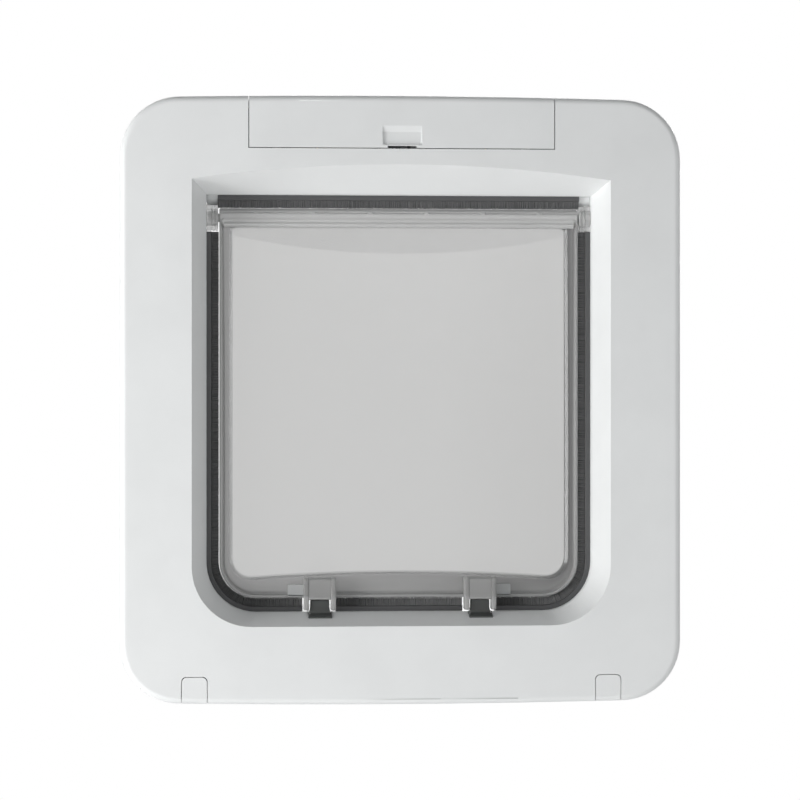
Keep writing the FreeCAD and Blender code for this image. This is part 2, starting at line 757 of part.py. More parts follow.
# The collar that a catch slides in, with a nose that lies on the slope of the scoop in front of it.
def make_catch_guide(side, sign):
    place = signed(sign, "catch_place")
    width = around(place, "2 * guide_half")
    collar_top = "-tunnel_drop - guide_lift"
    collar = box("guide_collar_" + side, width, ("guide_front", "guide_back"), ("-guide_reach", collar_top))
    start = value("guide_front + guide_wall / 2")
    end = value("guide_front - guide_nose")
    fall = value("scoop_fall / (frame_depth - mouth_set)")
    floor = [value("-tunnel_drop") + fall * (y + value("mouth_set")) for y in (start, end)]
    top, bevel = value(collar_top), value("nose_bevel")
    side_view = [(start, floor[0]), (end, floor[1]), (end + bevel, top - bevel / 2)]
    side_view += [(end + 2 * bevel, top), (start, top)]
    nose = prism("guide_nose_" + side, "x", side_view, width)
    width = around(place, "catch_width + 2 * catch_gap")
    depth = around("-catch_set", "catch_depth + 2 * catch_gap")
    slot = box("guide_slot_" + side, width, depth, ("-guide_reach - wall", "-tunnel_drop + wall"))
    return cut("catch_guide_" + side, fuse("guide_whole_" + side, [collar, nose]), [slot])


# A catch: a flat dog with a cam pin across its foot.
def make_catch(side, sign):
    place = signed(sign, "catch_place")
    depth = around("-catch_set", "catch_depth")
    dog = box("catch_dog_" + side, around(place, "catch_width"), depth, ("-cam_drop - cam_foot", "catch_top"))
    reach = ("bar_front - catch_gap", "-catch_set")
    pin = rod("catch_pin_" + side, "y", (place, "-cam_drop"), "cam_pin", reach)
    return fuse("catch_" + side, [dog, pin])


# The rack's flank angle, and the play taken off each side of a tooth as a share of the pitch.
tooth_slope = math.tan(math.radians(25))
tooth_thinning = 0.025


# The sliding bar that lifts both catches: a sloping slot for each cam pin, and a rack along its lower edge.
def make_lock_bar():
    width = ("-catch_place - bar_travel - bar_end", "catch_place + bar_end")
    bar = box("bar_plate", width, ("bar_front", "bar_back"), ("-bar_drop", "-bar_top"))
    slots = []
    radius = "cam_pin + cam_gap"
    through = ("bar_front - wall", "bar_back + wall")
    slope = math.atan2(value("catch_rise"), value("bar_travel"))
    for side, sign in sides:
        place = signed(sign, "catch_place")
        low = rod("cam_low_" + side, "y", (place, "-cam_drop"), radius, through)
        centre = (place + " - bar_travel", "-cam_drop + catch_rise")
        high = rod("cam_high_" + side, "y", centre, radius, through)
        ramp = box("cam_ramp_" + side, ("0", "1"), through, ("0", "2 * (%s)" % radius))
        ramp.setExpression("Length", tied("((bar_travel)^2 + (catch_rise)^2)^0.5"))
        ramp.Placement.Rotation = FreeCAD.Rotation(FreeCAD.Vector(0, 1, 0), math.degrees(slope))
        for letter, start, share in zip("xz", centre, (math.sin(slope), math.cos(slope))):
            ramp.setExpression("Placement.Base." + letter, tied("%s - (%s) * %r" % (start, radius, share)))
        slots += [low, high, ramp]
    pitch = math.pi * value("tooth_module")
    line = value("-bar_drop - dedendum")
    root, tip = value("-bar_drop"), line - value("addendum")
    half_pitch = pitch * (0.25 - tooth_thinning)
    wide = half_pitch + (root - line) * tooth_slope
    narrow = half_pitch - (line - tip) * tooth_slope
    first = -math.ceil(value("bar_travel") / pitch + 1.5)
    corners = []
    for number in range(first, 3):
        middle = number * pitch
        corners += [(middle - wide, root), (middle - narrow, tip)]
        corners += [(middle + narrow, tip), (middle + wide, root)]
    above = root + value("bar_under / 4")
    corners += [(corners[-1][0], above), (corners[0][0], above)]
    rack = prism("bar_rack", "y", corners, ("bar_front", "bar_back"))
    return cut("lock_bar", fuse("bar_with_rack", [bar, rack]), slots)


# The pinion that drives the bar: teeth with involute flanks on a shaft that enters the motor.
def make_lock_pinion():
    count = int(value("pinion_teeth"))
    radius = value("pitch_radius")
    base = radius * math.cos(math.atan(tooth_slope))
    tip, root = radius + value("addendum"), radius - value("dedendum")
    middle = -value("axle_drop")
    front = value("bar_front")

    # Half the angle that a tooth takes at a given radius.
    def half_angle(reach):
        def involute(r):
            pressure = math.acos(min(1, base / r))
            return math.tan(pressure) - pressure
        thickness = math.pi / count * (0.5 - 2 * tooth_thinning)
        return thickness + involute(radius) - involute(reach)

    def at(reach, angle):
        return FreeCAD.Vector(reach * math.cos(angle), front, middle + reach * math.sin(angle))

    steps = (base, (base + tip) / 2, tip)
    edges = []
    turn = 2 * math.pi / count
    for number in range(count):
        centre = math.pi / 2 + turn * (number + 0.5)
        rising = [at(r, centre - half_angle(r)) for r in steps]
        falling = [at(r, centre + half_angle(r)) for r in reversed(steps)]
        foot_in = at(root, centre - half_angle(base))
        foot_out = at(root, centre + half_angle(base))
        next_foot = at(root, centre + turn - half_angle(base))
        edges.append(Part.LineSegment(foot_in, rising[0]))
        edges.append(Part.Arc(*rising))
        edges.append(Part.LineSegment(rising[-1], falling[0]))
        edges.append(Part.Arc(*falling))
        edges.append(Part.LineSegment(falling[-1], foot_out))
        edges.append(Part.LineSegment(foot_out, next_foot))
    gear = doc.addObject("Part::Feature", "pinion_teeth_block")
    wire = Part.Wire([edge.toShape() for edge in edges])
    gear.Shape = Part.Face(wire).extrude(FreeCAD.Vector(0, value("bar_thickness"), 0))
    span = ("bar_front", "bar_back + shaft_reach")
    shaft = rod("pinion_shaft", "y", ("0", "-axle_drop"), "shaft_radius", span)
    return fuse("lock_pinion", [gear, shaft])


# A flat geared motor with a bearing bore for the pinion's shaft.
def make_lock_motor():
    place = ("0", "-axle_drop")
    can = rod("motor_can", "y", place, "motor_radius", ("motor_front", "motor_front + motor_length"))
    depth = ("motor_front - wall", "motor_front + shaft_reach")
    bore = rod("motor_bore", "y", place, "shaft_radius + run_gap", depth)
    return cut("lock_motor", can, [bore])


# The tray of the lock: a plate behind the catches that holds the motor, with a rail under each end of the
# bar and a lip in front of it.
def make_lock_housing():
    front = "-catch_set + catch_depth / 2 + 2 * catch_gap"
    back = front + " + tray_wall"
    reach = "catch_place + bar_travel + bar_end + 1.5 * tray_wall"
    rail_top = "-bar_drop - bar_gap"
    rail_foot = rail_top + " - tray_wall"
    height = (rail_foot + " - tray_drop", "-guide_reach - seat_gap")
    parts = [box("housing_plate", ("-(%s)" % reach, reach), (front, back), height)]
    for side, sign in sides:
        rail = sided(sign, "catch_place - tray_rail", reach)
        ahead = "bar_front - seat_gap - rail_lip"
        parts.append(box("bar_rail_" + side, rail, (ahead, back), (rail_foot, rail_top)))
        lip = (rail_foot, rail_top + " + rail_lip + rail_lip")
        parts.append(box("bar_lip_" + side, rail, (ahead, "bar_front - seat_gap"), lip))
        foot = sided(sign, reach + " - 3 * tray_wall", reach)
        parts.append(box("housing_foot_" + side, foot, (front, "-rear_thickness - leaf_gap"), height))
    through = (front + " - wall", back + " + wall")
    hole = rod("motor_hole", "y", ("0", "-axle_drop"), "motor_radius + leaf_gap", through)
    return cut("lock_housing", fuse("housing_whole", parts), [hole])


# Four C cells in a row above the scoop, two on each side of the pod that carries the settings board.
def make_cells():
    height = "core_top + cell_rise + cell_diameter / 2"
    middle = "-(frame_depth - wall + rear_thickness) / 2"
    low = "core_top + leaf_gap"
    for side, sign in sides:
        for number, name in enumerate(("inner", "outer")):
            label = "battery_%s_%s" % (side, name)
            start = "cell_start + %d * cell_length" % number
            span = sided(sign, start, start + " + cell_length - leaf_metal * 4")
            can = rod(label + "_can", "x", (middle, height), "cell_diameter / 2", span)
            end = sided(sign, start + " + cell_length - leaf_metal * 5", start + " + cell_length - leaf_gap")
            cap = rod(label + "_cap", "x", (middle, height), "cell_cap", end)
            name_piece(fuse(label, [can, cap]), label)
        plate = sided(sign, "pod_width / 2 + leaf_gap", "pod_width / 2 + leaf_gap + leaf_metal")
        depth = around(middle, "leaf_width")
        contact = box("contact_block_" + side, plate, depth, (low, "pod_shelf - leaf_metal"))
        name_piece(contact, "contact_plate_" + side)
        stop = "cell_end + leaf_depth + leaf_gap"
        tall = (low, "pod_shelf + leaf_width / 2")
        back = box("leaf_back_" + side, sided(sign, stop + " - leaf_metal", stop), depth, tall)
        roll = "(leaf_depth / 2 - leaf_metal / 2)"
        centre = (signed(sign, stop + " - leaf_metal / 2 - " + roll), middle)
        tall = ("core_top + leaf_width / 2", "core_top + 1.5 * leaf_width")
        outer = rod("leaf_outer_" + side, "z", centre, roll, tall)
        through = (tall[0] + " - leaf_metal", tall[1] + " + leaf_metal")
        inner = rod("leaf_inner_" + side, "z", centre, roll + " - leaf_metal", through)
        spring = fuse("leaf_whole_" + side, [back, cut("leaf_roll_" + side, outer, [inner])])
        name_piece(spring, "contact_spring_" + side)


# The settings board behind the battery cover, with a switch well under each button.
def make_settings_board():
    height = ("pod_shelf + 1.5 * leaf_metal", "pod_top")
    depth = ("settings_front", "settings_back")
    plate = box("settings_plate", around("0", "pod_width - 2 * seam"), depth, height)
    wells = []
    holes = []
    tall = around("button_height", "switch_width")
    for side, sign in sides:
        place = signed(sign, "button_place")
        depth = ("well_front", "settings_front + leaf_gap")
        wells.append(box("switch_well_" + side, around(place, "switch_width"), depth, tall))
        bore = ("well_front - wall", "settings_front - stem_radius")
        holes.append(rod("switch_hole_" + side, "y", (place, "button_height"), "stem_radius + cam_gap", bore))
    return cut("settings_board", fuse("settings_whole", [plate] + wells), holes)


def make_button(side, sign):
    centre = (signed(sign, "button_place"), "button_height")
    under = "well_front - button_travel - 2 * leaf_gap"
    cap = rod("button_cap_" + side, "y", centre, "button_radius", (under + " - button_cap", under))
    span = (under + " - leaf_metal", "well_front + stem_radius")
    stem = rod("button_stem_" + side, "y", centre, "stem_radius", span)
    return fuse("settings_button_" + side, [cap, stem])


# The larger parts of the main board: place and size as shares of the board, and depth as a share of its
# thickness.
board_parts = (
    (0.17, 0.59, 0.42, 0.11, 1.0),
    (0.21, 0.32, 0.29, 0.10, 0.75),
    (0.58, 0.52, 0.25, 0.16, 1.9),
    (0.13, 0.90, 0.58, 0.07, 3.1),
    (0.17, 0.06, 0.50, 0.07, 3.1),
)


# The main board on its two posts at the right of the scoop.
def make_main_board():
    width = ("board_start", "board_start + board_width")
    parts = [box("board_plate", width, ("board_front", "-board_set"), ("-board_half", "board_half"))]
    for number, (across, up, wide, tall, deep) in enumerate(board_parts):
        x = "board_start + %r * board_width" % across
        z = "(%r - 0.5) * 2 * board_half" % up
        depth = ("board_front - %r * board_thickness" % deep, "board_front + board_thickness / 16")
        block = box("board_part%d" % number, (x, x + " + %r * board_width" % wide), depth,
                    (z, z + " + %r * 2 * board_half" % tall))
        parts.append(block)
    return fuse("main_board", parts)


# The reader's coil: a flat wound ring in the groove round the tunnel.
def make_coil():
    body = doc.addObject("PartDesign::Body", "coil_ring")
    sketch = door_sketch(body, "coil_outline", "coil_depth - coil_gap")
    tunnel_loop(sketch, "tunnel_wall + coil_groove - coil_gap")
    tunnel_loop(sketch, "tunnel_wall + coil_gap")
    extrude(body, "Pad", "coil_winding", sketch, "coil_depth - rear_thickness - 2 * coil_gap", True)
    return body


# The outdoor frame: the same outline with a plainer scoop, and a sleeve that slides over the tunnel.
def make_outer_frame():
    body = doc.addObject("PartDesign::Body", "outer_shell")
    face = door_sketch(body, "outer_outline", "-door_thickness")
    outline(face)
    extrude(body, "Pad", "outer_block", face, "outer_depth", True)
    finish_edges_at(body, "Chamfer", "outer_bevel", "door_thickness + outer_depth", "0.8 * front_round")
    sleeve_in = "tunnel_wall + sleeve_gap"
    hollow = door_sketch(body, "outer_hollow_outline", "-door_thickness")
    outline(hollow, "wall")
    half = "tunnel_width / 2 + %s + outer_side" % sleeve_in
    top = "tunnel_top + %s + outer_rise" % sleeve_in
    drop = "tunnel_drop + %s + outer_side" % sleeve_in
    rise = top + " + outer_arch + core_wall"
    add_loop(hollow, half + " + core_wall", rise, drop + " + core_wall", None, "scoop_round + core_wall")
    extrude(body, "Pocket", "outer_hollow", hollow, "outer_depth - wall")
    sleeve = door_sketch(body, "sleeve_outline", "-door_thickness")
    tunnel_loop(sleeve, "2 * tunnel_wall + sleeve_gap")
    extrude(body, "Pad", "sleeve", sleeve, "sleeve_reach")
    front = door_sketch(body, "outer_scoop_outline", "-door_thickness - outer_depth")
    add_loop(front, half, top, drop, None, "scoop_round", "outer_arch")
    mouth = door_sketch(body, "outer_mouth_outline", "-door_thickness - outer_depth + outer_mouth")
    tunnel_loop(mouth, sleeve_in)
    loft_cut(body, "outer_scoop", front, mouth)
    way = door_sketch(body, "sleeve_way_outline", "-door_thickness - outer_depth + outer_mouth")
    tunnel_loop(way, sleeve_in)
    extrude(body, "Pocket", "sleeve_way", way, None, True)
    skin = "door_thickness + outer_depth - wall"
    bosses = [body]
    holes = []
    for number, (x, z) in enumerate(clamp_places):
        depth = ("door_thickness", skin + " + wall / 4")
        bosses.append(rod("outer_boss%d" % number, "y", (x, z), "screw_boss - run_gap * 10", depth))
        bore = ("door_thickness - wall", "door_thickness + screw_bite + screw_gap * 5")
        holes.append(rod("outer_hole%d" % number, "y", (x, z), "screw_radius + run_gap", bore))
    return cut("outer_frame", fuse("outer_whole", bosses), holes)


frame_shell = make_frame_shell()
name_piece(make_room_frame(frame_shell), "interior_frame")
name_piece(make_rear_cover(), "rear_cover")
name_piece(make_battery_cover(frame_shell), "battery_cover")
name_piece(make_clamp_screws(), "clamp_screws")
name_piece(make_flap(), "flap")
for side, sign in sides:
    name_piece(make_flap_magnet(side, sign), "flap_magnet_" + side)
    name_piece(make_sill_magnet(side, sign), "sill_magnet_" + side)
    name_piece(make_screw_cap(frame_shell, side, sign), "screw_cover_" + side)
    name_piece(make_hinge_bush(side, sign), "hinge_bush_" + side)
    name_piece(make_catch_guide(side, sign), "catch_guide_" + side)
    name_piece(make_catch(side, sign), "catch_" + side)
    name_piece(make_catch_pocket(side, sign), "catch_pocket_" + side)
    name_piece(make_button(side, sign), "settings_button_" + side)
make_seals()
name_piece(make_top_brush(), "top_brush")
name_piece(make_lock_bar(), "lock_bar")
name_piece(make_lock_pinion(), "lock_pinion")
name_piece(make_lock_motor(), "lock_motor")
name_piece(make_lock_housing(), "lock_housing")
make_cells()
name_piece(make_settings_board(), "settings_board")
name_piece(make_main_board(), "main_board")
name_piece(make_coil(), "antenna_coil")
name_piece(make_outer_frame(), "exterior_frame")
doc.recompute()

for thing in doc.Objects:
    if "Invalid" in thing.State or "Error" in thing.State:
        raise RuntimeError("%s did not build: %s" % (thing.Name, thing.State))
for piece in pieces:
    shape = piece.Shape
    if shape.isNull() or not shape.isValid() or not shape.Solids:
        raise RuntimeError("%s has no sound solid" % piece.Label)

os.makedirs("parts", exist_ok=True)
for piece in pieces:
    piece.Shape.exportStep("parts/%s.step" % piece.Label)
    print("%-24s %2d solids %10.1f mm3" % (piece.Label, len(piece.Shape.Solids), piece.Shape.Volume))
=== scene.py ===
import bpy
import json
import math
import numpy as np
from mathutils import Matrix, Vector


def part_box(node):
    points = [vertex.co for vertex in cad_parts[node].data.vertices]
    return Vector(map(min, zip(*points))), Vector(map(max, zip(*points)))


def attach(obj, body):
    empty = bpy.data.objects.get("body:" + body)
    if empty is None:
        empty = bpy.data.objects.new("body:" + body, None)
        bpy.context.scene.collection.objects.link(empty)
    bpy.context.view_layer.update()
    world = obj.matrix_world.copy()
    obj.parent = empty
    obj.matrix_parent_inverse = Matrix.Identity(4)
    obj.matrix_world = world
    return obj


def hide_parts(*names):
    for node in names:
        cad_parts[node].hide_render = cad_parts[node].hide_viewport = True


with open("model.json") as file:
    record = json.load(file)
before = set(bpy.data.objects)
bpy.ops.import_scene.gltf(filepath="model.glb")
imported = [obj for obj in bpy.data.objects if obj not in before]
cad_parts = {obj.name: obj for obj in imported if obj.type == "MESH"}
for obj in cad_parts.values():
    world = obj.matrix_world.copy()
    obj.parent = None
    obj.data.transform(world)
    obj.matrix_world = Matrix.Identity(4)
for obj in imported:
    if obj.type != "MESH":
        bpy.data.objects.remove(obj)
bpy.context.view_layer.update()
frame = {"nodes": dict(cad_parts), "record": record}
cadNodes = frame["nodes"]
print("frame loaded:", len(cadNodes), "nodes")

# The photograph's view and the studio round the object
camera = {
    "azimuth": -3.8,       # degrees, seen from a little left of straight on
    "elevation": 0.0,
    "distance": 1.25,      # metres to the front face
    "lens": 120.3,
    "aim": (-0.0011, -0.032, 0.0),
}
room = {
    "floorHeight": -1.3,
    "floorRadius": 3.2,
    "floorLift": 0.42,
    "worldStrength": 0.22,
    "lamps": {
        "lampLeft": {"place": (-1.1, -0.55, -0.1), "size": 0.8, "power": 13.0},
        "lampBelow": {"place": (-0.35, -0.95, -1.0), "size": 0.9, "power": 6.6},
        "lampFront": {"place": (-0.5, -2.2, 0.5), "size": 1.6, "power": 0.3},
        "lampRight": {"place": (1.7, -0.6, 0.1), "size": 0.8, "power": 5.8},
        "lampBack": {"place": (0.6, 1.8, 0.7), "size": 1.4, "power": 22.0},
    },
}


def placeCamera(values):
    a, e = math.radians(values["azimuth"]), math.radians(values["elevation"])
    back = Vector((math.sin(a) * math.cos(e), -math.cos(a) * math.cos(e), math.sin(e)))
    data = bpy.data.cameras.new("camera")
    data.lens = values["lens"]
    data.sensor_width = 36
    data.clip_start, data.clip_end = 0.05, 50
    thing = bpy.data.objects.new("camera", data)
    bpy.context.scene.collection.objects.link(thing)
    thing.rotation_mode = "QUATERNION"
    thing.location = Vector(values["aim"]) + back * values["distance"]
    thing.rotation_quaternion = (-back).to_track_quat("-Z", "Y")
    bpy.context.scene.camera = thing


def placeLamp(name, values):
    data = bpy.data.lights.new(name, "AREA")
    data.shape = "DISK"
    data.size = values["size"]
    data.energy = values["power"]
    thing = bpy.data.objects.new(name, data)
    bpy.context.scene.collection.objects.link(thing)
    thing.location = values["place"]
    thing.visible_transmission = False
    thing.rotation_mode = "QUATERNION"
    thing.rotation_quaternion = (-Vector(values["place"])).to_track_quat("-Z", "Y")


# White for what the camera sees directly, in glass or in a gloss, and a plain level for the light on the object
def makeWorld(strength):
    world = bpy.data.worlds.new("studio")
    world.use_nodes = True
    tree = world.node_tree
    tree.nodes.clear()
    path = tree.nodes.new("ShaderNodeLightPath")
    seen = tree.nodes.new("ShaderNodeMath")
    seen.operation = "MAXIMUM"
    seenToo = tree.nodes.new("ShaderNodeMath")
    seenToo.operation = "MAXIMUM"
    tree.links.new(path.outputs["Is Camera Ray"], seen.inputs[0])
    tree.links.new(path.outputs["Is Glossy Ray"], seen.inputs[1])
    tree.links.new(seen.outputs[0], seenToo.inputs[0])
    tree.links.new(path.outputs["Is Transmission Ray"], seenToo.inputs[1])
    plain = tree.nodes.new("ShaderNodeBackground")
    plain.inputs["Color"].default_value = (0.97, 0.985, 1.0, 1)
    plain.inputs["Strength"].default_value = strength
    white = tree.nodes.new("ShaderNodeBackground")
    white.inputs["Color"].default_value = (1, 1, 1, 1)
    white.inputs["Strength"].default_value = 1.0
    mix = tree.nodes.new("ShaderNodeMixShader")
    tree.links.new(seenToo.outputs[0], mix.inputs[0])
    tree.links.new(plain.outputs[0], mix.inputs[1])
    tree.links.new(white.outputs[0], mix.inputs[2])
    out = tree.nodes.new("ShaderNodeOutputWorld")
    tree.links.new(mix.outputs[0], out.inputs["Surface"])
    bpy.context.scene.world = world


def makeFloor(values):
    turn = np.linspace(0, 2 * np.pi, 97)[:-1]
    rim = np.stack([np.cos(turn), np.sin(turn), np.zeros_like(turn)], 1) * values["floorRadius"]
    rim[:, 2] = values["floorHeight"]
    mesh = bpy.data.meshes.new("floor")
    mesh.from_pydata(rim.tolist(), [], [list(range(len(rim)))])
    thing = bpy.data.objects.new("floor", mesh)
    bpy.context.scene.collection.objects.link(thing)
    material = bpy.data.materials.new("floorPaint")
    material.use_nodes = True
    shader = material.node_tree.nodes["Principled BSDF"]
    shader.inputs["Base Color"].default_value = (0.86, 0.86, 0.86, 1)
    shader.inputs["Roughness"].default_value = 0.9
    # the floor is lifted towards white for what the camera sees of it, and keeps the object's shadow
    path = material.node_tree.nodes.new("ShaderNodeLightPath")
    lift = material.node_tree.nodes.new("ShaderNodeMath")
    lift.operation = "MULTIPLY"
    lift.inputs[1].default_value = values["floorLift"]
    material.node_tree.links.new(path.outputs["Is Camera Ray"], lift.inputs[0])
    shader.inputs["Emission Color"].default_value = (1, 1, 1, 1)
    material.node_tree.links.new(lift.outputs[0], shader.inputs["Emission Strength"])
    mesh.materials.append(material)


placeCamera(camera)
makeWorld(room["worldStrength"])
makeFloor(room)
for lampName, lampValues in room["lamps"].items():
    placeLamp(lampName, lampValues)
bpy.context.scene.view_settings.view_transform = "Standard"
print("camera, floor and lamps placed")


# One node tree per finish, all on Object coordinates
class Finish:
    def __init__(self, name, **values):
        self.material = bpy.data.materials.new(name)
        self.material.use_nodes = True
        self.tree = self.material.node_tree
        self.shader = self.tree.nodes["Principled BSDF"]
        self.coords = self.tree.nodes.new("ShaderNodeTexCoord").outputs["Object"]
        for socket, value in values.items():
            self.set(socket, value)

    def set(self, socket, value):
        target = self.shader.inputs[socket.replace("_", " ")]
        if isinstance(value, tuple):
            target.default_value = (*value, 1)[:4]
        else:
            target.default_value = value

    def link(self, output, socket):
        self.tree.links.new(output, self.shader.inputs[socket])

    def noise(self, scale, detail=2.0, stretch=(1, 1, 1), rough=0.5):
        source = self.coords
        if stretch != (1, 1, 1):
            mapping = self.tree.nodes.new("ShaderNodeMapping")
            mapping.inputs["Scale"].default_value = stretch
            self.tree.links.new(self.coords, mapping.inputs["Vector"])
            source = mapping.outputs[0]
        node = self.tree.nodes.new("ShaderNodeTexNoise")
        node.inputs["Scale"].default_value = scale
        node.inputs["Detail"].default_value = detail
        node.inputs["Roughness"].default_value = rough
        self.tree.links.new(source, node.inputs["Vector"])
        return node.outputs["Fac"]

    def ramp(self, value, low, high, start=0.3, end=0.7):
        node = self.tree.nodes.new("ShaderNodeMapRange")
        node.inputs["From Min"].default_value = start
        node.inputs["From Max"].default_value = end
        node.inputs["To Min"].default_value = low
        node.inputs["To Max"].default_value = high
        self.tree.links.new(value, node.inputs["Value"])
        return node.outputs["Result"]

    def blend(self, value, first, second, start=0.3, end=0.7):
        node = self.tree.nodes.new("ShaderNodeMix")
        node.data_type = "RGBA"
        node.inputs["A"].default_value = (*first, 1)
        node.inputs["B"].default_value = (*second, 1)
        self.tree.links.new(self.ramp(value, 0, 1, start, end), node.inputs["Factor"])
        return node.outputs["Result"]

    def grain(self, height, distance, strength=1.0, after=None):
        node = self.tree.nodes.new("ShaderNodeBump")
        node.inputs["Distance"].default_value = distance
        node.inputs["Strength"].default_value = strength
        self.tree.links.new(height, node.inputs["Height"])
        if after is not None:
            self.tree.links.new(after, node.inputs["Normal"])
        return node.outputs["Normal"]


# Moulded plastic: a fine spark grain, a faint flow mottle, and roughness that drifts a little
def mouldedPlastic(name, colour, rough, grainSize=5200, grainDepth=0.00001, drift=0.02, specular=0.5):
    made = Finish(name, Specular_IOR_Level=specular)
    lighter = tuple(min(1.0, c * (1 + drift)) for c in colour)
    darker = tuple(c * (1 - drift) for c in colour)
    made.link(made.blend(made.noise(38, 3), darker, lighter), "Base Color")
    made.link(made.ramp(made.noise(160, 4), rough - 0.05, rough + 0.05), "Roughness")
    fine = made.grain(made.noise(grainSize, 1), grainDepth, 0.6)
    made.link(made.grain(made.noise(420, 2), grainDepth * 2.2, 0.25, after=fine), "Normal")
    return made.material


def paintOver(made, mask, under, colour):
    node = made.tree.nodes.new("ShaderNodeMix")
    node.data_type = "RGBA"
    made.tree.links.new(mask, node.inputs["Factor"])
    made.tree.links.new(under, node.inputs["A"])
    node.inputs["B"].default_value = (*colour, 1)
    return node.outputs["Result"]


# Clear plastic: a tinted, slightly rough glass mixed with a share of milky haze, which keeps its tone even
# where it bends the light from dark pieces behind it. Tint and haze can be painted darker towards +X as painted
# shade
def clearPlastic(name, colour, rough, milk=0.25, milkColour=(0.5, 0.5, 0.495),
                 grainDepth=0.000006, rightShade=1.0, thin=None):
    made = Finish(name, Transmission_Weight=1.0, IOR=1.49, Specular_IOR_Level=0.5)
    across = made.tree.nodes.new("ShaderNodeSeparateXYZ")
    made.tree.links.new(made.coords, across.inputs[0])
    # painted shade: the tint darkens from left to right across X, down to rightShade of itself
    drift = made.blend(across.outputs["X"], colour, tuple(c * rightShade for c in colour), -0.08, 0.08)
    mottle = made.tree.nodes.new("ShaderNodeMix")
    mottle.data_type = "RGBA"
    mottle.blend_type = "MULTIPLY"
    mottle.inputs["Factor"].default_value = 1.0
    made.tree.links.new(drift, mottle.inputs["A"])
    made.tree.links.new(made.blend(made.noise(14, 1), (0.985,) * 3, (1.0,) * 3), mottle.inputs["B"])
    tint = mottle.outputs["Result"]
    share = made.ramp(made.noise(18, 2), milk - 0.01, milk + 0.01)
    if thin:
        # the piece's own UV: U runs from 0 where it is thick to 1 where it has thinned, V is 1 on the outer lip,
        # which gets a painted highlight of lighter, milkier haze
        uv = made.tree.nodes.new("ShaderNodeTexCoord").outputs["UV"]
        run = made.tree.nodes.new("ShaderNodeSeparateXYZ")
        made.tree.links.new(uv, run.inputs[0])
        thinning = made.tree.nodes.new("ShaderNodeMix")
        thinning.data_type = "RGBA"
        made.tree.links.new(run.outputs["X"], thinning.inputs["Factor"])
        made.tree.links.new(tint, thinning.inputs["A"])
        # painted shade: the thin window's tint also darkens towards the right
        darker = tuple(c * thin["rightShade"] for c in thin["colour"])
        sheet = made.blend(across.outputs["X"], thin["colour"], darker, -0.08, 0.08)
        made.tree.links.new(sheet, thinning.inputs["B"])
        tint = thinning.outputs["Result"]
        fade = made.tree.nodes.new("ShaderNodeMix")
        made.tree.links.new(run.outputs["X"], fade.inputs["Factor"])
        made.tree.links.new(share, fade.inputs["A"])
        fade.inputs["B"].default_value = thin["milk"]
        # painted highlight: on the outer lip the haze share rises to lipHighlightMilk
        lipped = made.tree.nodes.new("ShaderNodeMix")
        made.tree.links.new(run.outputs["Y"], lipped.inputs["Factor"])
        made.tree.links.new(fade.outputs["Result"], lipped.inputs["A"])
        lipped.inputs["B"].default_value = thin["lipHighlightMilk"]
        share = lipped.outputs["Result"]
    made.link(tint, "Base Color")
    made.link(made.ramp(made.noise(240, 3), rough * 0.8, rough * 1.2), "Roughness")
    surface = made.grain(made.noise(900, 2), grainDepth, 0.3)
    made.link(surface, "Normal")
    haze = made.tree.nodes.new("ShaderNodeBsdfPrincipled")
    if thin:
        # painted shade: the haze colour darkens towards the right
        shaded = tuple(c * thin["milkRightShade"] for c in milkColour)
        cloud = made.blend(across.outputs["X"], milkColour, shaded, 0.02, 0.08)
        # painted highlight: the lip's haze is the lighter lipHighlightColour
        cloud = paintOver(made, run.outputs["Y"], cloud, thin["lipHighlightColour"])
        made.tree.links.new(cloud, haze.inputs["Base Color"])
    else:
        haze.inputs["Base Color"].default_value = (*milkColour, 1)
    haze.inputs["Roughness"].default_value = 0.3
    haze.inputs["Specular IOR Level"].default_value = 0.4
    made.tree.links.new(surface, haze.inputs["Normal"])
    mix = made.tree.nodes.new("ShaderNodeMixShader")
    made.tree.links.new(share, mix.inputs[0])
    made.tree.links.new(made.shader.outputs[0], mix.inputs[1])
    made.tree.links.new(haze.outputs[0], mix.inputs[2])
    made.tree.links.new(mix.outputs[0], made.tree.nodes["Material Output"].inputs["Surface"])
    return made.material


def metal(name, colour, rough, stretch=(1, 1, 1), scratch=900):
    made = Finish(name, Metallic=1.0)
    made.link(made.blend(made.noise(60, 3), tuple(c * 0.94 for c in colour), colour), "Base Color")
    made.link(made.ramp(made.noise(scratch, 3, stretch), rough - 0.07, rough + 0.09), "Roughness")
    made.link(made.grain(made.noise(scratch, 2, stretch), 0.000008, 0.35), "Normal")
    return made.material


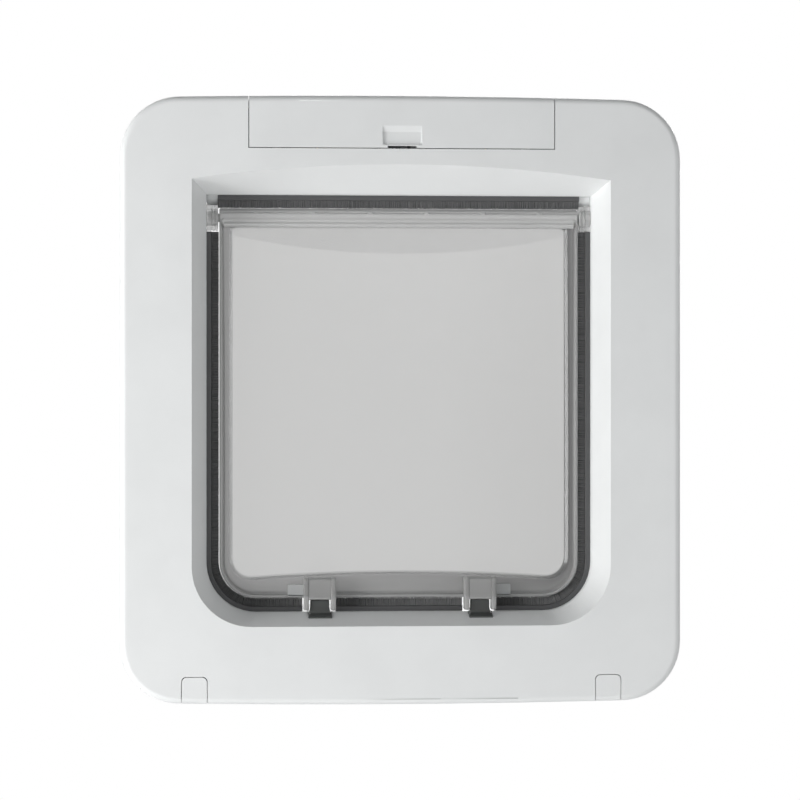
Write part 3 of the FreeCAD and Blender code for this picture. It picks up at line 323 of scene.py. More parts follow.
finishes = {
    "white_plastic": mouldedPlastic("whitePlastic", (0.79, 0.802, 0.80), 0.42, specular=0.35),
    "clear_plastic": clearPlastic("clearPlastic", (0.62, 0.62, 0.62), 0.14, 0.3),
    "bush_plastic": clearPlastic("bushPlastic", (0.85, 0.85, 0.85), 0.14, 0.4, (0.78, 0.78, 0.775)),
    "brush": mouldedPlastic("sealHolder", (0.075, 0.076, 0.078), 0.5),
    "dark_plastic": mouldedPlastic("darkPlastic", (0.058, 0.062, 0.06), 0.36),
    "grey_plastic": mouldedPlastic("greyPlastic", (0.2, 0.205, 0.21), 0.45),
    "magnet_pad": mouldedPlastic("magnetJacket", (0.52, 0.53, 0.53), 0.4),
    "magnet_steel": metal("magnetPlating", (0.58, 0.58, 0.6), 0.28),
    "motor_steel": metal("motorCan", (0.6, 0.6, 0.61), 0.3, (1, 12, 1)),
    "screw_steel": metal("zincPlating", (0.66, 0.66, 0.68), 0.3),
    "contact_brass": metal("contactMetal", (0.78, 0.69, 0.46), 0.25, (1, 1, 10)),
    "cell_jacket": mouldedPlastic("cellJacket", (0.03, 0.034, 0.04), 0.25),
    "circuit_board": mouldedPlastic("boardLacquer", (0.015, 0.12, 0.06), 0.3),
    "coil_winding": metal("copperWinding", (0.72, 0.33, 0.18), 0.32),
    "button_plastic": mouldedPlastic("buttonPlastic", (0.32, 0.325, 0.33), 0.45),
}


# One axis of the Object coordinates, and a step between two tones at a place along it
def axisOf(made, letter):
    split = made.tree.nodes.new("ShaderNodeSeparateXYZ")
    made.tree.links.new(made.coords, split.inputs[0])
    return split.outputs[letter]


def bandBetween(made, value, first, last, edge=0.0001):
    node = made.tree.nodes.new("ShaderNodeMath")
    node.operation = "MULTIPLY"
    made.tree.links.new(made.ramp(value, 0, 1, first - edge, first + edge), node.inputs[0])
    made.tree.links.new(made.ramp(value, 1, 0, last - edge, last + edge), node.inputs[1])
    return node.outputs[0]


def waveAlong(made, letter, pitch):
    node = made.tree.nodes.new("ShaderNodeTexWave")
    node.wave_type = "BANDS"
    node.bands_direction = letter
    node.wave_profile = "SIN"
    node.inputs["Scale"].default_value = 0.314 / pitch  # one band per pitch
    node.inputs["Distortion"].default_value = 0.0
    made.tree.links.new(made.coords, node.inputs["Vector"])
    return node.outputs["Fac"]


cellLook = {
    "jacket": (0.055, 0.075, 0.095), "band": (0.32, 0.36, 0.38), "line": (0.55, 0.42, 0.12),
    "metal": (0.62, 0.62, 0.63), "rough": 0.26, "crimp": 0.0012, "capShare": 2.4,
    "bandFrom": 0.0075, "bandTo": 0.0185, "lineGap": 0.0008, "lineWidth": 0.0009,
}


# A cell: printed film jacket with a paler band and a thin line near its cap, bare metal at both ends
def cellFinish(look, name, low, high, capAtHigh):
    made = Finish(name)
    x = axisOf(made, "X")
    away = -1 if capAtHigh else 1
    cap = high if capAtHigh else low
    printed = made.blend(made.noise(55, 2), tuple(c * 0.9 for c in look["jacket"]), look["jacket"])
    lineFrom = look["bandTo"] + look["lineGap"]
    stripes = (("band", look["bandFrom"], look["bandTo"]), ("line", lineFrom, lineFrom + look["lineWidth"]))
    for key, start, end in stripes:
        edges = sorted((cap + away * start, cap + away * end))
        printed = paintOver(made, bandBetween(made, x, edges[0], edges[1]), printed, look[key])
    bare = [look["crimp"], look["crimp"] * look["capShare"]][::1 if capAtHigh else -1]
    film = bandBetween(made, x, low + bare[0], high - bare[1])
    flip = made.ramp(film, 1, 0, 0, 1)
    made.link(paintOver(made, flip, printed, look["metal"]), "Base Color")
    made.link(flip, "Metallic")
    made.link(made.ramp(made.noise(300, 2), look["rough"] - 0.05, look["rough"] + 0.06), "Roughness")
    made.link(made.grain(made.noise(900, 2), 0.000008, 0.3), "Normal")
    return made.material


boardLook = {
    "lacquer": (0.012, 0.085, 0.042), "track": (0.03, 0.17, 0.085), "package": (0.022, 0.022, 0.024),
    "socket": (0.62, 0.6, 0.52), "trackSize": 260, "trackWidth": 0.09, "rough": 0.3,
}
# each board's face along Y, and the height from which its packages are sockets (0 where it has none)
boardPlaces = {"main_board": ("mainBoard", -0.0129, 0.0328), "settings_board": ("settingsBoard", -0.0139, 0)}
coilLook = {"colour": (0.72, 0.33, 0.18), "pitch": 0.00045}


# A circuit board: lacquer over square-cornered tracks; whatever stands in front of its face is a dark package,
# or a pale socket beyond a given height
def boardFinish(look, name, face, socketFrom):
    made = Finish(name)
    cells = made.tree.nodes.new("ShaderNodeTexVoronoi")
    cells.feature = "DISTANCE_TO_EDGE"
    cells.inputs["Scale"].default_value = look["trackSize"]
    cells.inputs["Randomness"].default_value = 0.55
    made.tree.links.new(made.coords, cells.inputs["Vector"])
    track = made.ramp(cells.outputs["Distance"], 1, 0, look["trackWidth"] * 0.6, look["trackWidth"])
    base = made.blend(made.noise(90, 2), tuple(c * 0.88 for c in look["lacquer"]), look["lacquer"])
    base = paintOver(made, track, base, look["track"])
    part = made.ramp(axisOf(made, "Y"), 1, 0, face - 0.0002, face - 0.0001)
    base = paintOver(made, part, base, look["package"])
    if socketFrom:
        far = made.tree.nodes.new("ShaderNodeMath")
        far.operation = "ABSOLUTE"
        made.tree.links.new(axisOf(made, "Z"), far.inputs[0])
        both = made.tree.nodes.new("ShaderNodeMath")
        both.operation = "MULTIPLY"
        beyond = made.ramp(far.outputs[0], 0, 1, socketFrom - 0.0001, socketFrom + 0.0001)
        made.tree.links.new(beyond, both.inputs[0])
        made.tree.links.new(part, both.inputs[1])
        base = paintOver(made, both.outputs[0], base, look["socket"])
    made.link(base, "Base Color")
    made.link(made.ramp(made.noise(220, 2), look["rough"] - 0.06, look["rough"] + 0.1), "Roughness")
    made.link(made.grain(track, 0.00003, 0.4), "Normal")
    return made.material


# Enamelled wire wound side by side: bands across the depth of the ring, darkened between the turns as painted
# shade in the grooves
def windingFinish(name, colour, pitch):
    made = Finish(name, Metallic=1.0)
    wires = waveAlong(made, "Y", pitch)
    # painted shade: the colour falls to about a third of itself between the turns
    made.link(made.blend(wires, tuple(c * 0.35 for c in colour), colour, 0.1, 0.6), "Base Color")
    made.link(made.ramp(made.noise(300, 3), 0.24, 0.4), "Roughness")
    made.link(made.grain(wires, 0.00012, 0.7), "Normal")
    return made.material


# Gives a CAD node one finish in place of its own slots; its mesh stays as it is
def dressNode(node, material):
    node.data.materials.clear()
    node.data.materials.append(material)
    node.data.polygons.foreach_set("material_index", np.zeros(len(node.data.polygons), np.int32))


for part in frame["record"]["subparts"]:
    dressNode(cadNodes[part["node"]], finishes[part["material_slot"]])
for side in ("left", "right"):
    for place in ("inner", "outer"):
        name = "battery_%s_%s" % (side, place)
        low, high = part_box(name)
        jacket = cellFinish(cellLook, "cellJacket_%s_%s" % (side, place), low[0], high[0], side == "right")
        dressNode(cadNodes[name], jacket)
for name, (label, face, socketFrom) in boardPlaces.items():
    dressNode(cadNodes[name], boardFinish(boardLook, label, face, socketFrom))
dressNode(cadNodes["antenna_coil"], windingFinish("coilWire", coilLook["colour"], coilLook["pitch"]))
print("finishes set")


# Puts a grid of points, rows by columns, into a mesh; a closed direction joins its last line to its first
def gridPiece(name, points, material, body, replaced=(),
              closedRows=False, closedColumns=False, smooth=True, caps=False, run=None):
    points = np.asarray(points, float)
    rows, columns = points.shape[:2]
    lastRow = rows if closedRows else rows - 1
    lastColumn = columns if closedColumns else columns - 1
    r, c = np.meshgrid(np.arange(lastRow), np.arange(lastColumn), indexing="ij")
    r, c = r.ravel(), c.ravel()
    nextRow, nextColumn = (r + 1) % rows, (c + 1) % columns
    corners = [r * columns + c, r * columns + nextColumn, nextRow * columns + nextColumn, nextRow * columns + c]
    faces = np.stack(corners, 1).tolist()
    if caps and not closedRows:
        faces.append(list(range(columns))[::-1])
        faces.append(list(range((rows - 1) * columns, rows * columns)))
    piece = addPiece(name, points.reshape(-1, 3), faces, material, body, replaced, smooth)
    if run is not None:
        # two UV numbers per column of the grid
        mesh = piece.data
        corner = np.empty(len(mesh.loops), np.int32)
        mesh.loops.foreach_get("vertex_index", corner)
        uv = np.asarray(run, np.float32)[corner % columns]
        mesh.uv_layers.new(name="run").data.foreach_set("uv", uv.ravel())
    return piece


def addPiece(name, points, faces, material, body, replaced=(), smooth=True):
    mesh = bpy.data.meshes.new(name)
    mesh.from_pydata(np.asarray(points, float).tolist(), [], faces)
    mesh.validate()
    piece = bpy.data.objects.new(name, mesh)
    bpy.context.scene.collection.objects.link(piece)
    mesh.materials.append(material)
    mesh.polygons.foreach_set("use_smooth", np.full(len(mesh.polygons), smooth))
    weld = piece.modifiers.new("weld", "WELD")
    weld.merge_threshold = 0.000002
    if smooth:
        split = piece.modifiers.new("sharpEdges", "EDGE_SPLIT")
        split.split_angle = math.radians(38)
    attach(piece, body)
    for node in replaced:
        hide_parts(node)
    return piece


# An upright loop of points: two straight sides, a foot that may bow upwards in its middle, a top, and four
# round corners. Every loop has the same number of points in each stretch, so two loops pair up point by point.
def uprightLoop(half, top, foot, footRound, topRound, footBow=0.0, counts=(40, 14, 60, 14, 40, 8, 40, 8)):
    def line(a, b, n):
        t = np.linspace(0, 1, n, endpoint=False)[:, None]
        return np.array(a) * (1 - t) + np.array(b) * t

    def arc(centre, radius, first, last, n):
        turn = np.radians(np.linspace(first, last, n, endpoint=False))
        return np.stack([centre[0] + radius * np.cos(turn), centre[1] + radius * np.sin(turn)], 1)

    w, t, f, rf, rt = half, top, foot, footRound, topRound
    stretches = [
        line((w, t - rt), (w, f + rf), counts[0]), arc((w - rf, f + rf), rf, 0, -90, counts[1]),
        line((w - rf, f), (rf - w, f), counts[2]), arc((rf - w, f + rf), rf, -90, -180, counts[3]),
        line((-w, f + rf), (-w, t - rt), counts[4]), arc((rt - w, t - rt), rt, 180, 90, counts[5]),
        line((rt - w, t), (w - rt, t), counts[6]), arc((w - rt, t - rt), rt, 90, 0, counts[7]),
    ]
    loop = np.concatenate(stretches)
    share = np.clip(1 - (loop[:, 0] / (w - 0.25 * rf)) ** 2, 0, 1)
    low = np.clip((f + rf + 0.004 - loop[:, 1]) / (rf + 0.004), 0, 1)
    loop[:, 1] += footBow * share * low
    return loop


# A closed profile carried round between two loops: each profile point is a distance from the outer loop (or,
# counted from 1, from the inner loop) and a depth along Y.
def ringBetween(outer, inner, profile):
    gap = inner - outer
    span = np.linalg.norm(gap, axis=1, keepdims=True)
    way = gap / span
    profile = np.asarray(profile, float)
    fromOuter = outer[:, None] + way[:, None] * profile[None, :, :1]
    fromInner = inner[:, None] + way[:, None] * profile[None, :, :1]
    place = np.where(profile[None, :, 2:3] > 0.5, fromInner, fromOuter)
    depth = np.broadcast_to(profile[None, :, 1:2], place.shape[:2] + (1,))
    return np.concatenate([place[..., :1], depth, place[..., 1:]], 2)


# Upright or lying sections: rounded rectangles, one per row, all with the same number of points
def roundedSections(half, near, far, radius, steps=4):
    rows = max(np.size(v) for v in (half, near, far, radius))
    ones = np.ones((rows, steps + 1))
    half, near, far, radius = [np.reshape(v, (-1, 1)) * ones for v in (half, near, far, radius)]
    turn = np.radians(np.linspace(0, 90, steps + 1))[None]
    a = [(half - radius + radius * np.cos(turn), far - radius + radius * np.sin(turn))]
    a.append((-half + radius - radius * np.sin(turn), far - radius + radius * np.cos(turn)))
    a.append((-half + radius - radius * np.cos(turn), near + radius - radius * np.sin(turn)))
    a.append((half - radius + radius * np.sin(turn), near + radius - radius * np.cos(turn)))
    return np.concatenate([p[0] for p in a], 1), np.concatenate([p[1] for p in a], 1)


# The clear flap: widths to each side along X, depths along Y, heights along Z
flapSizes = {
    "half": 0.0854, "top": 0.0865, "foot": -0.0938, "footRound": 0.0173, "topRound": 0.0015,
    "windowHalf": 0.0788, "windowTop": 0.0822, "windowFoot": -0.0838,
    "windowRound": 0.0092, "windowTopRound": 0.003, "footBow": 0.0030,
    "front": -0.0115, "back": -0.0025, "panelFront": -0.00825, "panelBack": -0.00575,
    "edgeRound": 0.0009, "lip": 0.0013, "recess": 0.0018, "slope": 0.0029, "backFlange": 0.0021,
    "barrelRadius": 0.0045, "barrelRound": 0.0005, "axisY": -0.007,
    "pinRadius": 0.002, "pinReach": 0.0905, "pinEase": 0.0003,
    "groove": 0.0007, "grooveAngle": 147.5, "lands": (-0.068, -0.041, -0.014, 0.013, 0.040, 0.067),
}


# The flap in one surface: from the middle of the panel's back out to its edge, round the thick outer lip, over
# the flat recess and down a soft slope to the panel's face, and in to the middle again. Its U runs from 0 on the
# rim to 1 on the thin panel, its V is 1 on the lip, which carries a painted highlight of lighter, milkier haze.
def makeFlapPane(f):
    outer = uprightLoop(f["half"], f["top"], f["foot"], f["footRound"], f["topRound"])
    inner = uprightLoop(f["windowHalf"], f["windowTop"], f["windowFoot"],
                        f["windowRound"], f["windowTopRound"], f["footBow"])
    e, lip, deep, slope, flange = f["edgeRound"], f["lip"], f["recess"], f["slope"], f["backFlange"]
    front, back = f["front"], f["back"]
    turn = np.radians([0, 22, 45, 67, 90])
    share = np.linspace(0, 1, 8)
    drop = share * share * (3 - 2 * share)
    # distance from the edge, depth, 1 where it counts from the inner loop, how far it has thinned, how much of
    # the lip's painted highlight
    profile = [(0, f["panelBack"], 1, 1, 0), (flange + 0.0006, f["panelBack"], 0, 0.3, 0)]
    profile += [(flange, f["panelBack"] + 0.0006, 0, 0, 0)]
    profile += [(flange, back - 0.0003, 0, 0, 0), (flange - 0.0003, back, 0, 0, 0)]
    profile += [(e - e * math.sin(a), back - e + e * math.cos(a), 0, 0, 0) for a in turn]
    profile += [(e - e * math.cos(a), front + e - e * math.sin(a), 0, 0, 1) for a in turn]
    profile += [(lip, front, 0, 0, 1), (lip + 0.0006, front + deep, 0, 0, 0.8)]
    fall = f["panelFront"] - front - deep
    profile += [(-slope * (1 - t), front + deep + fall * d, 1, t ** 1.4, 0) for t, d in zip(share, drop)]
    rim = ringBetween(outer, inner, [line[:3] for line in profile])
    sheet = inner[:, None] * np.linspace(0, 1, 9)[None, :-1, None]
    backFace = np.insert(sheet, 1, f["panelBack"], 2)
    frontFace = np.insert(sheet[:, ::-1], 1, f["panelFront"], 2)
    points = np.concatenate([backFace, rim, frontFace], 1)
    run = [(1, 0)] * 8 + [line[3:] for line in profile] + [(1, 0)] * 8
    return gridPiece("flap_pane", points, finishes["flapPane"], "flap", ("flap",),
                     closedRows=True, run=run)


# A shallow step moulded on the panel's room side: from the window's top down to a sagging arc
def makeFlapLens(f):
    lens = {"sideDrop": 0.0042, "middleDrop": 0.0125, "thick": 0.00035, "fade": 0.0022}
    x = np.linspace(-f["windowHalf"] + 0.0004, f["windowHalf"] - 0.0004, 81)
    sag = (lens["middleDrop"] - lens["sideDrop"]) * (1 - (x / f["windowHalf"]) ** 2)
    low = f["windowTop"] - lens["sideDrop"] - sag
    high = np.full_like(x, f["windowTop"] - 0.0002)
    back, front = f["panelFront"] - 0.00002, f["panelFront"] - lens["thick"]
    z = [high, high, low + lens["fade"], low]
    y = [back, front, front, back]
    points = np.stack([np.stack([x, np.full_like(x, depth), height], 1) for depth, height in zip(y, z)], 1)
    return gridPiece("flap_lens", points, finishes["flapLens"], "flap", (),
                     closedColumns=True, caps=True)


# The hinge barrel: a profile of radii carried along X with a pin at each end, and a fine groove along its room
# side that six small lands interrupt
def makeFlapBarrel(f):
    r, pin, half, reach = f["barrelRadius"], f["pinRadius"], f["half"], f["pinReach"]
    ease, bevel = f["pinEase"], f["barrelRound"]
    # place along X, radius, 1 where the groove runs
    steps = [(-reach, 0.0, 0), (-reach, pin - ease, 0), (-reach + ease, pin, 0)]
    steps += [(-half, pin, 0), (-half, r - bevel, 0), (-half + bevel, r, 1)]
    for x in f["lands"]:
        steps += [(x - 0.0012, r, 1), (x - 0.0008, r, 0), (x + 0.0008, r, 0), (x + 0.0012, r, 1)]
    steps += [(half - bevel, r, 1), (half, r - bevel, 0), (half, pin, 0)]
    steps += [(reach - ease, pin, 0), (reach, pin - ease, 0), (reach, 0.0, 0)]
    steps = np.array(steps)
    turn = np.unique(np.concatenate([np.arange(0, 360, 5.0), np.arange(140, 156, 1.0)]))
    groove = f["groove"] * np.exp(-((turn - f["grooveAngle"]) / 4.0) ** 2)
    flute = 0.0001 * np.exp(-((turn - 205) / 4.0) ** 2)
    radius = steps[:, 1:2] - np.where(steps[:, 1:2] > pin + 0.0001, groove * steps[:, 2:3] + flute, 0)
    y = f["axisY"] + radius * np.cos(np.radians(turn))
    z = f["top"] + radius * np.sin(np.radians(turn))
    x = np.broadcast_to(steps[:, :1], y.shape)
    return gridPiece("flap_barrel", np.stack([x, y, z], 2), finishes["flapBarrel"], "flap", (),
                     closedColumns=True)


# The apron under the barrel on the room side: a plate whose face rises and falls in two soft waves
def makeHingeApron(f):
    apron = {"high": 0.0861, "low": 0.0818, "inset": 0.0022, "thick": 0.0006, "wave": 0.00022, "waves": 2.0}
    z = np.linspace(apron["high"], apron["low"], 25)
    share = np.linspace(0, 1, 25)
    y = f["front"] - 0.0001 - apron["wave"] * np.sin(2 * np.pi * apron["waves"] * share) * np.sin(np.pi * share)
    y = np.concatenate([y, [f["front"] + apron["thick"]] * 2])
    z = np.concatenate([z, [apron["low"], apron["high"]]])
    x = np.linspace(-f["half"] + apron["inset"], f["half"] - apron["inset"], 3)
    points = np.stack([np.stack([np.full_like(z, place), y, z], 1) for place in x])
    return gridPiece("hinge_apron", points, finishes["flapBarrel"], "flap", (),
                     closedColumns=True, caps=True)


pocketSizes = {
    "place": 0.038, "half": 0.0076, "inner": 0.0052, "front": -0.0182, "back": -0.0115, "wall": 0.0015,
    "top": -0.084, "foot": -0.0993, "frontFoot": -0.09435, "round": 0.0006,
}


# A pocket on the flap: two upright cheeks, sections up Z, and between them a front wall that turns into the roof
def makeCatchPocket(p, side):
    place = p["place"] if side == "right" else -p["place"]
    name = "catch_pocket_" + side
    z = np.array([p["foot"], p["foot"] + 0.0003, p["top"] - 0.0006, p["top"] - 0.0002, p["top"]])
    trim = np.array([0.0003, 0, 0, 0.0002, 0.0006])
    half = (p["half"] - p["inner"]) / 2
    x, y = roundedSections(half - trim, p["front"] + trim, p["back"] - trim * 0.1, np.full(len(z), p["round"]))
    for number, sign in enumerate((-1, 1)):
        cheek = np.stack([place + sign * (p["inner"] + half) + x, y, np.broadcast_to(z[:, None], x.shape)], 2)
        gridPiece(name + "_cheek_%d" % (number + 1), cheek, finishes["pocket"], "flap",
                  (name,) if number else (), closedColumns=True, caps=True)
    wall, low, top, front, back = p["wall"], p["frontFoot"], p["top"], p["front"] + 0.0002, p["back"]
    turn = np.radians(np.linspace(0, 90, 5))
    outline = [(front + wall, low), (front + wall, top - wall - 0.0006), (front + wall + 0.0006, top - wall)]
    outline += [(back, top - wall), (back, top - 0.0002)]
    outline += [(front + 0.001 - 0.001 * math.sin(a), top - 0.0012 + 0.001 * math.cos(a)) for a in turn]
    outline += [(front, low + 0.0004), (front + 0.0004, low)]
    outline = np.array(outline)
    x = place + np.array([-1.0, 1.0]) * (p["inner"] - 0.00002)
    lintel = np.stack([np.stack([np.full(len(outline), at), outline[:, 0], outline[:, 1]], 1) for at in x])
    return gridPiece(name + "_lintel", lintel, finishes["pocket"], "flap", (),
                     closedColumns=True, smooth=False, caps=True)


# painted shade: rightShade and milkRightShade darken tint and haze towards the right, in the thin window here
# and on the rim in the call below
paneThin = {
    "colour": (0.70, 0.70, 0.695), "rightShade": 0.97, "milk": 0.15, "milkRightShade": 0.5,
    "lipHighlightMilk": 0.6, "lipHighlightColour": (0.56, 0.56, 0.555),
}
# the rim's tint (0.27) is darker than the window's: partly for its thickness, partly painted shade standing in
# for the dark seal seen through it
finishes["flapPane"] = clearPlastic("flapPane", (0.27, 0.27, 0.27), 0.13, 0.36, (0.39, 0.39, 0.385),
                                    rightShade=0.25, thin=paneThin)
finishes["flapBarrel"] = clearPlastic("flapBarrel", (0.5, 0.5, 0.5), 0.2, 0.66, (0.7, 0.7, 0.695))
finishes["flapLens"] = clearPlastic("flapLens", (0.93, 0.93, 0.93), 0.08, 0.04)
finishes["pocket"] = clearPlastic("pocketPlastic", (0.55, 0.55, 0.55), 0.16, 0.55, (0.46, 0.46, 0.455))
makeFlapPane(flapSizes)
makeFlapLens(flapSizes)
makeFlapBarrel(flapSizes)
makeHingeApron(flapSizes)
for side in ("left", "right"):
    makeCatchPocket(pocketSizes, side)
print("flap made")

# The seals: wall values follow the tunnel, tip values the flap's edge with its gap
sealSizes = {
    "wallHalf": 0.0915, "wallDrop": 0.1003, "wallRound": 0.0234, "wallTop": 0.0972,
    "tipHalf": 0.0856, "tipDrop": 0.0940, "tipRound": 0.0175,
    "top": 0.0804, "axisY": -0.007,
    "holderDepth": 0.006, "holderRise": 0.0024, "slotDepth": 0.0032, "slotFloor": 0.0012,
    "spacing": 0.00042, "rows": 6, "rowDepth": 0.0026, "rootRadius": 0.00017, "tipRadius": 0.0001,
    "matHalf": 0.0008, "matReach": 0.0055, "stray": 0.00012, "lean": 0.00018,
    "gapInner": 0.0302, "gapOuter": 0.0458, "topHalf": 0.0862, "topTip": 0.0911,
}


# The path of one seal: matching points on the tunnel wall and on the line where the bristles end
def sealPath(z, part):
    top = z["top"]
    counts = (330, 60, 420, 60, 330, 1, 1, 1)
    wall = uprightLoop(z["wallHalf"], top, -z["wallDrop"], z["wallRound"], 0.0001, 0, counts)
    tips = uprightLoop(z["tipHalf"], top, -z["tipDrop"], z["tipRound"], 0.0001, 0, counts)
    along = sum(counts[:5])
    wall, tips = wall[:along], tips[:along]
    if part == "top":
        x = np.linspace(-z["topHalf"], z["topHalf"], 420)
        return np.stack([x, np.full_like(x, z["wallTop"])], 1), np.stack([x, np.full_like(x, z["topTip"])], 1)
    low = wall[:, 1] < -z["wallDrop"] + 0.0005
    if part == "sill":
        keep = low & (np.abs(wall[:, 0]) < z["gapInner"])
    else:
        side = 1 if part == "right" else -1
        keep = (wall[:, 0] * side > 0) & ~(low & (np.abs(wall[:, 0]) < z["gapOuter"]))
    return wall[keep], tips[keep]


# A channel against the wall with a thin mat rising from its floor, in place of the imported brush, which is
# hidden: the section is given as distance from the wall and depth either side of the axis
def makeSealHolder(z, part, node):
    wall, tips = sealPath(z, part)
    way = (tips - wall) / np.linalg.norm(tips - wall, axis=1, keepdims=True)
    pick = np.unique(np.append(np.arange(0, len(wall), 6), len(wall) - 1))
    wall, way = wall[pick], way[pick]
    half, slot, rise, base = z["holderDepth"] / 2, z["slotDepth"] / 2, z["holderRise"], z["slotFloor"]
    mat, reach, edge = z["matHalf"], z["matReach"], 0.0003
    section = [(0, -half), (rise - edge, -half), (rise, -half + edge), (rise, -slot)]
    section += [(base, -slot), (base, -mat), (reach, -mat)]
    section = np.array(section + [(across, -depth) for across, depth in section[::-1]])
    place = wall[:, None] + way[:, None] * section[None, :, :1]
    depth = np.broadcast_to(z["axisY"] + section[None, :, 1:], place.shape[:2] + (1,))
    points = np.concatenate([place[..., :1], depth, place[..., 1:]], 2)
    return gridPiece("seal_holder_" + part, points, finishes["brush"], "frame", (node,),
                     closedColumns=True, caps=True)


# Bristles: tapered three-sided hairs in staggered rows, each from the channel's floor to the flap's edge, with
# a small random lean and length; all are computed at once as arrays
def makeBristles(z, part):
    wall, tips = sealPath(z, part)
    run = np.concatenate([[0], np.cumsum(np.linalg.norm(np.diff(wall, axis=0), axis=1))])
    dice = np.random.default_rng(7 + len(part))
    roots, ends, depths = [], [], []
    for row in range(z["rows"]):
        stops = np.arange(z["spacing"] * (0.3 + 0.5 * (row % 2)), run[-1], z["spacing"])
        stops = stops + dice.normal(0, z["spacing"] * 0.12, len(stops))
        for line, found in ((wall, roots), (tips, ends)):
            found.append(np.stack([np.interp(stops, run, line[:, 0]), np.interp(stops, run, line[:, 1])], 1))
        depths.append(np.full(len(stops), (row / (z["rows"] - 1) - 0.5) * z["rowDepth"]))
    wallEnd, tipEnd, depth = np.concatenate(roots), np.concatenate(ends), np.concatenate(depths)
    span = np.linalg.norm(tipEnd - wallEnd, axis=1, keepdims=True)
    way = (tipEnd - wallEnd) / span
    root = wallEnd + way * (z["slotFloor"] + 0.0001)
    tip = tipEnd - way * np.abs(dice.normal(0, z["stray"], (len(depth), 1)))
    side = np.stack([-way[:, 1], way[:, 0]], 1)
    tip = tip + side * dice.normal(0, z["lean"] * 0.5, (len(depth), 1))
    tipDepth = depth + dice.normal(0, z["lean"], len(depth))

    def ring(centre, y, radius):
        turn = np.array([0.3, 2.4, 4.5])
        across = side[:, None] * (radius * np.cos(turn))[None, :, None] + centre[:, None]
        along = y[:, None] + radius * np.sin(turn)[None]
        return np.concatenate([across[..., :1], z["axisY"] + along[..., None], across[..., 1:]], 2)

    rings = [ring(root, depth, z["rootRadius"]), ring(tip, tipDepth, z["tipRadius"])]
    points = np.concatenate(rings, 1).reshape(-1, 3)
    start = np.arange(len(depth))[:, None] * 6
    around = ((0, 1), (1, 2), (2, 0))
    flanks = [np.concatenate([start + b, start + a, start + a + 3, start + b + 3], 1) for a, b in around]
    faces = np.concatenate(flanks).tolist() + (start + [0, 1, 2]).tolist() + (start + [5, 4, 3]).tolist()
    mesh = bpy.data.meshes.new("bristles_" + part)
    mesh.from_pydata(points.tolist(), [], faces)
    piece = bpy.data.objects.new("bristles_" + part, mesh)
    bpy.context.scene.collection.objects.link(piece)
    mesh.materials.append(finishes["bristle"])
    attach(piece, "frame")
    return piece


finishes["bristle"] = mouldedPlastic("bristle", (0.255, 0.256, 0.258), 0.5)
sealNodes = {"left": "brush_left", "right": "brush_right", "sill": "sill_brush", "top": "top_brush"}
for sealPart, sealNode in sealNodes.items():
    makeSealHolder(sealSizes, sealPart, sealNode)
    makeBristles(sealSizes, sealPart)
print("seals made")

bushSizes = {
    "inner": 0.0860, "outer": 0.0915, "back": -0.002, "flange": -0.0093, "top": 0.0925, "foot": 0.0805,
    "axisY": -0.007, "axisZ": 0.0865, "boss": 0.0050, "bossStep": 0.0038, "bore": 0.00205, "boreEnd": 0.09075,
    "edge": 0.0003, "groove": 0.0004, "grooveAt": (0.0874, 0.0889),
    "roof": 0.0972, "lugFront": -0.0072, "lugBack": -0.0036,
}


# A bush: its outline, two flanges with a round boss between them, is given as a radius round the pin's axis and
# carried along X through grooves to its ends, then back down the bore to the blind end
def makeHingeBush(b, side):
    axis, step = np.array([b["axisY"], b["axisZ"]]), b["bossStep"]
    corners = [(b["back"], b["foot"]), (b["back"], b["top"])]
    corners += [(b["flange"], b["top"]), (b["flange"], b["axisZ"] + step)]
    limit = np.arcsin((step - 0.0002) / b["boss"])
    turn = np.linspace(limit, -limit, 15)
    corners += [(b["axisY"] - b["boss"] * math.cos(a), b["axisZ"] + b["boss"] * math.sin(a)) for a in turn]
    corners += [(b["flange"], b["axisZ"] - step), (b["flange"], b["foot"])]
    corners = np.array(corners) - axis
    share = np.linspace(0, 1, 12, endpoint=False)[None, :, None]
    dense = (corners[:, None] * (1 - share) + np.roll(corners, -1, 0)[:, None] * share).reshape(-1, 2)
    angle, radius = np.arctan2(dense[:, 1], dense[:, 0]), np.hypot(dense[:, 0], dense[:, 1])
    order = np.argsort(angle)
    cornerAngles = np.arctan2(corners[:, 1], corners[:, 0])
    at = np.unique(np.concatenate([np.linspace(-np.pi, np.pi, 73)[:-1], cornerAngles]))
    outline = np.interp(at, angle[order], radius[order], period=2 * np.pi)
    stops = [(b["outer"], 1), (b["outer"], b["edge"]), (b["outer"] - b["edge"], 0.0)]
    for place in b["grooveAt"][::-1]:
        stops += [(place + 0.0003, 0.0), (place + 0.0001, b["groove"])]
        stops += [(place - 0.0001, b["groove"]), (place - 0.0003, 0.0)]
    stops += [(b["inner"] + b["edge"], 0.0), (b["inner"], b["edge"])]
    x = np.array([stop[0] for stop in stops] + [b["inner"], b["boreEnd"], b["boreEnd"]])
    cut = np.array([stop[1] for stop in stops])[:, None]
    radii = np.where(cut > 0.5, 0.0, outline[None] - cut)
    bore = np.array([b["bore"], b["bore"], 0.0])[:, None] * np.ones_like(at)[None]
    radii = np.concatenate([radii, bore])
    sign = 1 if side == "right" else -1
    across = np.broadcast_to(sign * x[:, None], radii.shape)
    points = np.stack([across, b["axisY"] + radii * np.cos(at), b["axisZ"] + radii * np.sin(at)], 2)
    if sign > 0:
        points = points[:, ::-1]
    name = "hinge_bush_" + side
    return gridPiece(name + "_clip", points, finishes["bush_plastic"], "frame", (name,),
                     closedColumns=True)


